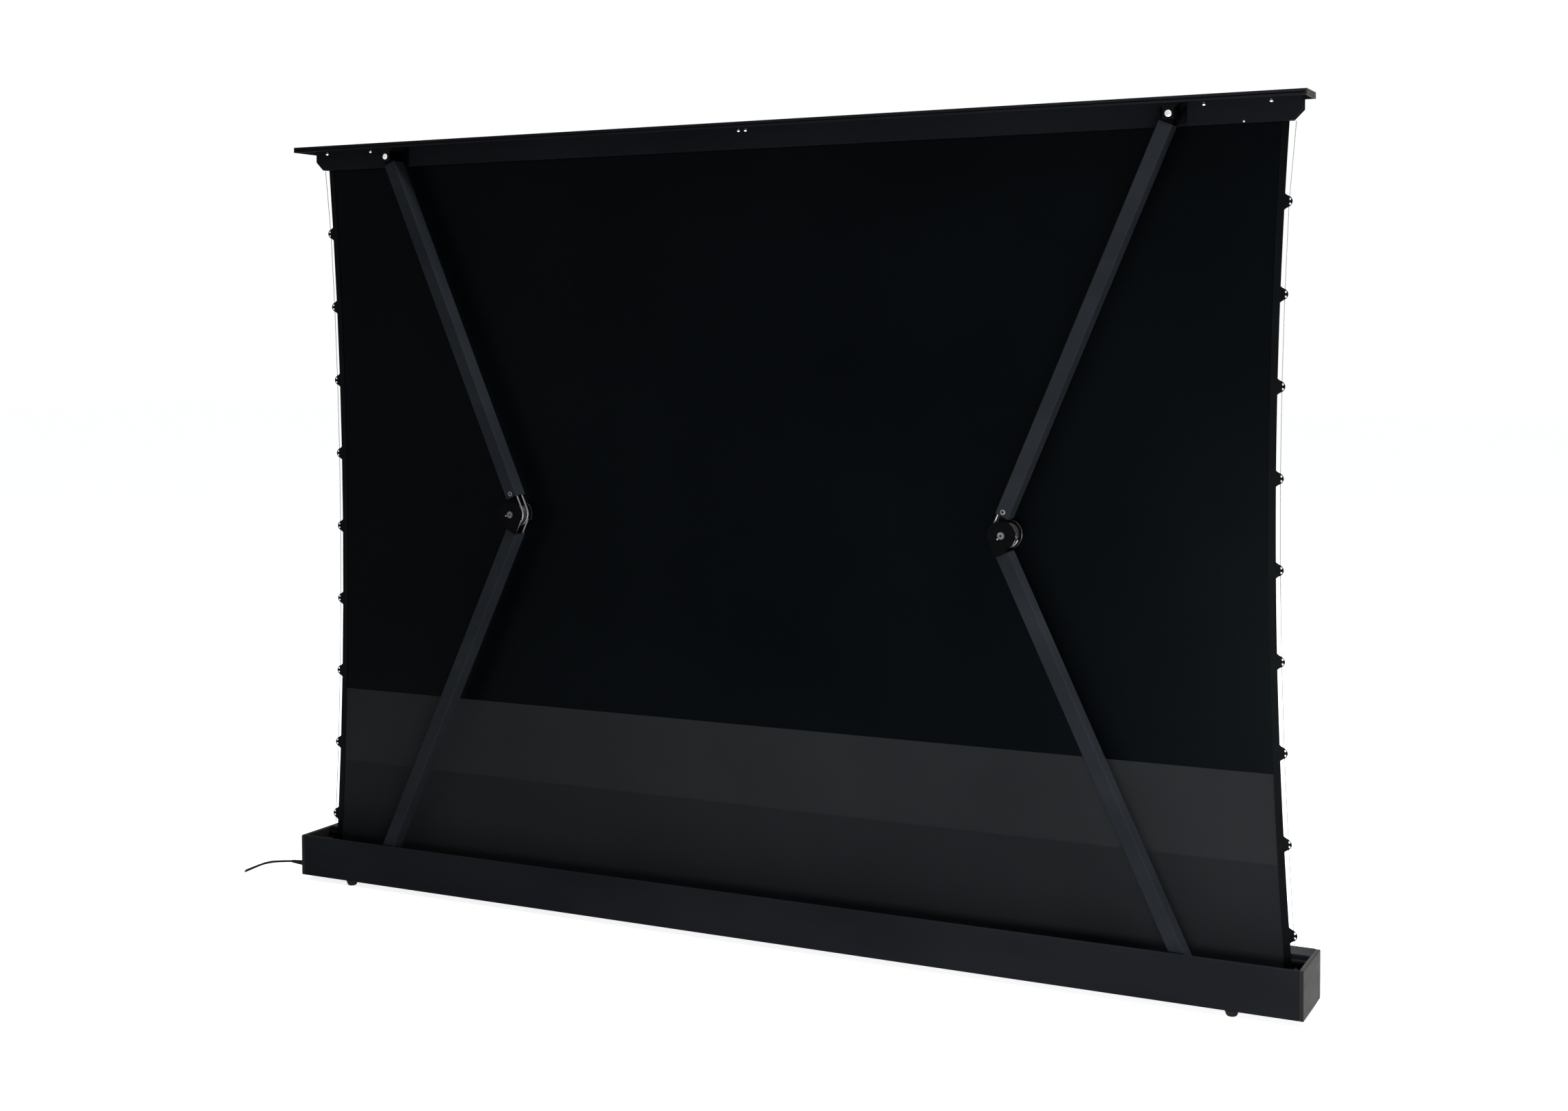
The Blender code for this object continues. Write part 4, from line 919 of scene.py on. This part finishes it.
# Mains lead
def smooth_route(points):
    """Points a step apart on a smooth curve through the route's points."""
    knots = [Vector(p) for p in points]
    knots = [2 * knots[0] - knots[1]] + knots + [2 * knots[-1] - knots[-2]]
    fine = []
    for a, b, c, d in zip(knots, knots[1:], knots[2:], knots[3:]):
        for i in range(CURVE_PARTS):
            t = i / CURVE_PARTS
            square = (2 * a - 5 * b + 4 * c - d) * t**2
            cube = (3 * b - a - 3 * c + d) * t**3
            fine.append(0.5 * (2 * b + (c - a) * t + square + cube))
    fine.append(knots[-2])
    total = sum((q - p).length for p, q in zip(fine, fine[1:]))
    count = round(total / LEAD_STEP)
    chosen = [fine[0]]
    walked = 0.0
    for p, q in zip(fine, fine[1:]):
        walked += (q - p).length
        if walked >= total * len(chosen) / count and len(chosen) < count:
            chosen.append(q)
    chosen.append(fine[-1])
    lowest = min(p.z for p in knots)
    for point in chosen:
        point.z = max(point.z, lowest)
    return chosen


def coil_point(turn):
    """Point of the coil after so many turns: in along the floor, then out on top."""
    radius = COIL_RADIUS - COIL_PITCH * (turn if turn < COIL_TURNS else 2 * COIL_TURNS - turn)
    climb = min(1.0, max(0.0, (turn - COIL_TURNS) * 2 + 0.5))
    rise = climb * climb * (3 - 2 * climb) * COIL_LAYER
    angle = math.radians(COIL_START) + 2 * math.pi * turn
    x = COIL_CENTRE[0] + radius * math.cos(angle)
    y = COIL_CENTRE[1] + radius * math.sin(angle)
    return Vector((x, y, LEAD_ROUTE[-1][2] + rise))


def lead_points():
    steps = 2 * COIL_TURNS * COIL_POINTS_PER_TURN
    coil = [coil_point(2 * COIL_TURNS * i / steps) for i in range(steps + 1)]
    start = coil[0] + Vector((LEAD_DIAMETER, 0, 0))
    end = coil[-1] - Vector((COIL_TAIL, 0, 0))
    route = smooth_route([GLAND_TIP] + LEAD_ROUTE + [tuple(start)])
    return route + coil + [coil[-1].lerp(end, t) for t in (0.25, 0.5, 0.75, 1.0)]


def build_lead(looks):
    points = lead_points()
    curve = bpy.data.curves.new("mains_lead", "CURVE")
    curve.dimensions = "3D"
    curve.bevel_depth = LEAD_DIAMETER / 2
    curve.bevel_resolution = 4
    curve.use_fill_caps = True
    spline = curve.splines.new("POLY")
    spline.points.add(len(points) - 1)
    for target, point in zip(spline.points, points):
        target.co = (*point, 1)
    spline.use_smooth = True
    lead = bpy.data.objects.new("mains_lead", curve)
    bpy.context.scene.collection.objects.link(lead)
    curve.materials.append(looks["lead"])
    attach(lead, "case")
    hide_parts("mains_cord", "cord_coil")
    plug = build_plug(points[-1], looks)
    tie = build_tie(looks)


def rounded_block(mesh, low, high, radius, steps):
    """Adds a block with rounded edges."""
    before = set(mesh.verts)
    corners = bmesh.ops.create_cube(mesh, size=1.0)["verts"]
    low = Vector(low)
    high = Vector(high)
    for vert in corners:
        for axis in range(3):
            vert.co[axis] = low[axis] if vert.co[axis] < 0 else high[axis]
    edges = set()
    for vert in corners:
        edges.update(vert.link_edges)
    bmesh.ops.bevel(
        mesh,
        geom=list(edges),
        offset=radius,
        segments=steps,
        profile=0.5,
        affect="EDGES",
        clamp_overlap=True,
    )
    return [vert for vert in mesh.verts if vert not in before]


def build_plug(end, looks):
    """Two-pin plug with a ribbed relief and a waisted grip."""
    mesh = bmesh.new()
    backward = (-1, 0, 0)
    profile = [(0.0, 0.0), (0.0, 0.0029)]
    for i in range(PLUG_RIBS):
        start = PLUG_RELIEF * (i + 0.15) / PLUG_RIBS
        radius = 0.0030 + 0.0010 * (i + 1) / PLUG_RIBS
        profile += [(start, radius - 0.0005), (start + 0.0006, radius)]
        profile += [(start + 0.0020, radius), (start + 0.0026, radius - 0.0004)]
    profile += [(PLUG_RELIEF + 0.002, 0.0040), (PLUG_RELIEF + 0.002, 0.0)]
    lathe(mesh, profile, 20, axis_place(end, backward))
    high_x = end.x - PLUG_RELIEF
    low = (high_x - PLUG_LENGTH, end.y - PLUG_HALF_WIDTH, end.z - PLUG_HALF_HEIGHT)
    high = (high_x, end.y + PLUG_HALF_WIDTH, end.z + PLUG_HALF_HEIGHT)
    for vert in rounded_block(mesh, low, high, PLUG_EDGE, 3):
        share = (high_x - vert.co.x) / PLUG_LENGTH
        from_waist = (share - PLUG_WAIST_PLACE) / PLUG_WAIST_LENGTH
        waist = 1 - PLUG_WAIST * math.exp(-(from_waist**2))
        vert.co.y = end.y + (vert.co.y - end.y) * waist
    body = finish_piece("plug_body", mesh, looks["plastic"], "case", 30)
    mesh = bmesh.new()
    for offset in (-PLUG_PIN_SPACING / 2, PLUG_PIN_SPACING / 2):
        start = Vector((low[0] + PLUG_PIN_START, end.y + offset, end.z))
        lathe(mesh, PLUG_PIN_PROFILE, 20, axis_place(start, backward))
    pins = finish_piece("plug_pins", mesh, looks["steel"], "case", 30)
    pins.parent = body
    pins.matrix_parent_inverse = body.matrix_world.inverted()
    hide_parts("mains_plug")
    return body


def build_tie(looks):
    """Flat tie round all turns of the coil, at its far side."""
    angle = math.radians(TIE_DIRECTION)
    out = Vector((math.cos(angle), math.sin(angle), 0))
    across = Vector((-out.y, out.x, 0))
    room = LEAD_DIAMETER / 2 + TIE_ROOM
    inner = COIL_RADIUS - COIL_PITCH * COIL_TURNS - room
    outer = COIL_RADIUS + room
    high = LEAD_ROUTE[-1][2] + COIL_LAYER + LEAD_DIAMETER / 2 + TIE_ROOM_ABOVE
    centre = Vector((COIL_CENTRE[0], COIL_CENTRE[1], 0))
    corner = TIE_CORNER
    loop = []
    for reach, height, start in (
        (outer - corner, high - corner, 0),
        (inner + corner, high - corner, 90),
        (inner + corner, TIE_LOW + corner, 180),
        (outer - corner, TIE_LOW + corner, 270),
    ):
        for step in range(TIE_CORNER_STEPS + 1):
            turn = math.radians(start + 90 * step / TIE_CORNER_STEPS)
            loop.append((reach + corner * math.cos(turn), height + corner * math.sin(turn)))
    mesh = bmesh.new()
    middle = Vector(((inner + outer) / 2, (TIE_LOW + high) / 2))
    rings = []
    for reach, height in loop:
        direction = (Vector((reach, height)) - middle).normalized()
        ring = []
        for grow in (0.0, TIE_THICKNESS):
            r = reach - direction.x * grow
            z = height - direction.y * grow
            for side in (-TIE_HALF_WIDTH, TIE_HALF_WIDTH):
                ring.append(mesh.verts.new(centre + out * r + across * side + Vector((0, 0, z))))
        rings.append(ring)
    for a, b in zip(rings, rings[1:] + rings[:1]):
        for i, j in ((0, 1), (1, 3), (3, 2), (2, 0)):
            mesh.faces.new((a[i], a[j], b[j], b[i]))
    return finish_piece("lead_tie", mesh, looks["drop"], "case")


def build_gland(looks):
    """Ribbed strain relief where the lead leaves the end cap."""
    mesh = bmesh.new()
    start = HALF_LENGTH + SOLID_GAP
    place = axis_place((start, GLAND_TIP[1], GLAND_TIP[2]), (1, 0, 0))
    length = GLAND_TIP[0] - start
    profile = list(GLAND_FLANGE)
    for i in range(GLAND_RIBS):
        share = i / (GLAND_RIBS - 1)
        along = GLAND_FIRST_RIB + (length - GLAND_LAST_RIB - GLAND_FIRST_RIB) * share
        radius = GLAND_NECK_RADIUS + (GLAND_TIP_RADIUS - GLAND_NECK_RADIUS) * share
        profile += [(along, radius - GLAND_GROOVE), (along + 0.0004, radius)]
        profile += [(along + 0.0023, radius), (along + 0.0027, radius - GLAND_GROOVE)]
    profile += [(length - 0.0008, 0.0031), (length, 0.0028), (length, 0.0)]
    lathe(mesh, profile, 28, place)
    item = finish_piece("strain_relief", mesh, looks["plastic"], "case", 30)
    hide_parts("cord_gland")


# Small fittings
def dome_head(mesh, place, radius, height):
    """Domed screw head, which rises from along 0."""
    profile = [(0.0, radius * 0.96), (height * 0.12, radius)]
    for step in range(1, 7):
        turn = math.radians(90 * step / 7)
        profile.append((height * (0.12 + 0.88 * math.sin(turn)), radius * math.cos(turn)))
    lathe(mesh, profile + [(height, 0.0)], 24, place)


def build_lid_screws(looks):
    """Round-headed screws that hang under the lid, behind the beams."""
    mesh = bmesh.new()
    places = [at_inset(side, inset) for _, side in SIDES for inset in LID_SCREW_INSETS]
    profile = list(LID_SCREW_SHANK)
    for step in range(1, 7):
        turn = math.radians(90 * step / 7)
        along = LID_SCREW_HEAD_START + LID_SCREW_HEAD_RISE * math.sin(turn)
        profile.append((along, LID_SCREW_HEAD_RADIUS * math.cos(turn)))
    profile.append((LID_SCREW_HEAD_START + LID_SCREW_HEAD_RISE, 0.0))
    for x in places + LID_SCREWS_MIDDLE:
        origin = (x, at_depth(LID_SCREW_DEPTH), at_height(LID_UNDERSIDE))
        lathe(mesh, profile, 20, axis_place(origin, (0, 0, -1)))
    finish_piece("lid_screws", mesh, looks["screw"], "top_bar", 40)


def elbow_point(side, depth):
    """Point on an elbow's axis, with the screen raised."""
    return Vector((at_inset(side, ELBOW_INSET), at_depth(depth), at_height(ELBOW_HEIGHT)))


def build_elbow_fittings(side_name, side, looks):
    """Black disc of painted shade in the bolt head's socket, pin beside it, rim of the front cheek,
    and a rivet nut with a black disc of painted shade in its hole.
    """
    lower = f"{side_name}_lower_arm"
    upper = f"{side_name}_upper_arm"
    mesh = bmesh.new()
    # Black disc that paints the shade inside the bolt head's socket
    lathe(mesh, SOCKET_SHADE_PROFILE, 6, axis_place(elbow_point(side, BOLT_TOP_DEPTH), REARWARD))
    finish_piece(f"{side_name}_elbow_socket_shade", mesh, looks["rubber"], lower, 30)

    mesh = bmesh.new()
    x, z = PIN_BESIDE_BOLT[side_name]
    origin = elbow_point(side, CHEEK_REAR_DEPTH) + Vector((x, 0, z))
    dome_head(mesh, axis_place(origin, REARWARD), PIN_HEAD_RADIUS, PIN_HEAD_HEIGHT)
    finish_piece(f"{side_name}_elbow_pin", mesh, looks["cable"], lower, 40)

    mesh = bmesh.new()
    place = axis_place(elbow_point(side, CHEEK_FRONT_DEPTH), REARWARD)
    lathe(mesh, RIM_PROFILE + RIM_PROFILE[:1], 72, place)
    bmesh.ops.remove_doubles(mesh, verts=mesh.verts, dist=RIM_MERGE)
    finish_piece(f"{side_name}_elbow_rim", mesh, looks["screw"], lower, 40)

    mesh = bmesh.new()
    origin = elbow_point(side, ARM_REAR_DEPTH) + Vector((side * NUT_OUTWARD, 0, NUT_RISE))
    place = axis_place(origin, REARWARD)
    lathe(mesh, NUT_PROFILE, 28, place)
    finish_piece(f"{side_name}_rivet_nut", mesh, looks["bolt"], upper, 40)

    # Black disc that paints the shade inside the rivet nut's hole
    mesh = bmesh.new()
    lathe(mesh, NUT_HOLE_SHADE_PROFILE, 20, place)
    finish_piece(f"{side_name}_rivet_hole_shade", mesh, looks["rubber"], upper, 40)


def build_beam_fittings(looks):
    """Black covers over the joints of the beam, behind the arms, and one small screw."""
    rear = at_depth(BEAM_REAR_DEPTH)
    mesh = bmesh.new()
    for _, side in SIDES:
        ends = sorted((at_inset(side, JOINT_COVER_START), at_inset(side, JOINT_COVER_END)))
        low_y = rear + JOINT_COVER_GAP
        low = (ends[0], low_y, at_height(BEAM_BOTTOM + JOINT_COVER_ABOVE_BEAM_BOTTOM))
        high_y = low_y + JOINT_COVER_THICKNESS
        high = (ends[1], high_y, at_height(LID_UNDERSIDE + JOINT_COVER_INTO_LID))
        rounded_block(mesh, low, high, JOINT_COVER_EDGE, 2)
    finish_piece("beam_joint_covers", mesh, looks["casting"], "top_bar", 30)

    mesh = bmesh.new()
    origin = (BEAM_SCREW_X, rear, at_height(BEAM_BOTTOM + BEAM_SCREW_ABOVE_BEAM_BOTTOM))
    dome_head(mesh, axis_place(origin, REARWARD), BEAM_SCREW_RADIUS, BEAM_SCREW_HEIGHT)
    finish_piece("beam_screw", mesh, looks["screw"], "top_bar", 40)


def main():
    make_camera()
    make_world()
    make_floor()
    for lamp in LAMPS:
        make_lamp(*lamp)
    looks = make_materials()
    dress_nodes(looks)
    build_lead(looks)
    build_gland(looks)
    build_cloth(looks)
    for side_name, side in SIDES:
        build_strip(side_name, side, looks)
        build_tension_cord(side_name, side, looks)
        build_elbow_fittings(side_name, side, looks)
    build_roll(looks)
    build_lid_screws(looks)
    build_beam_fittings(looks)


main()
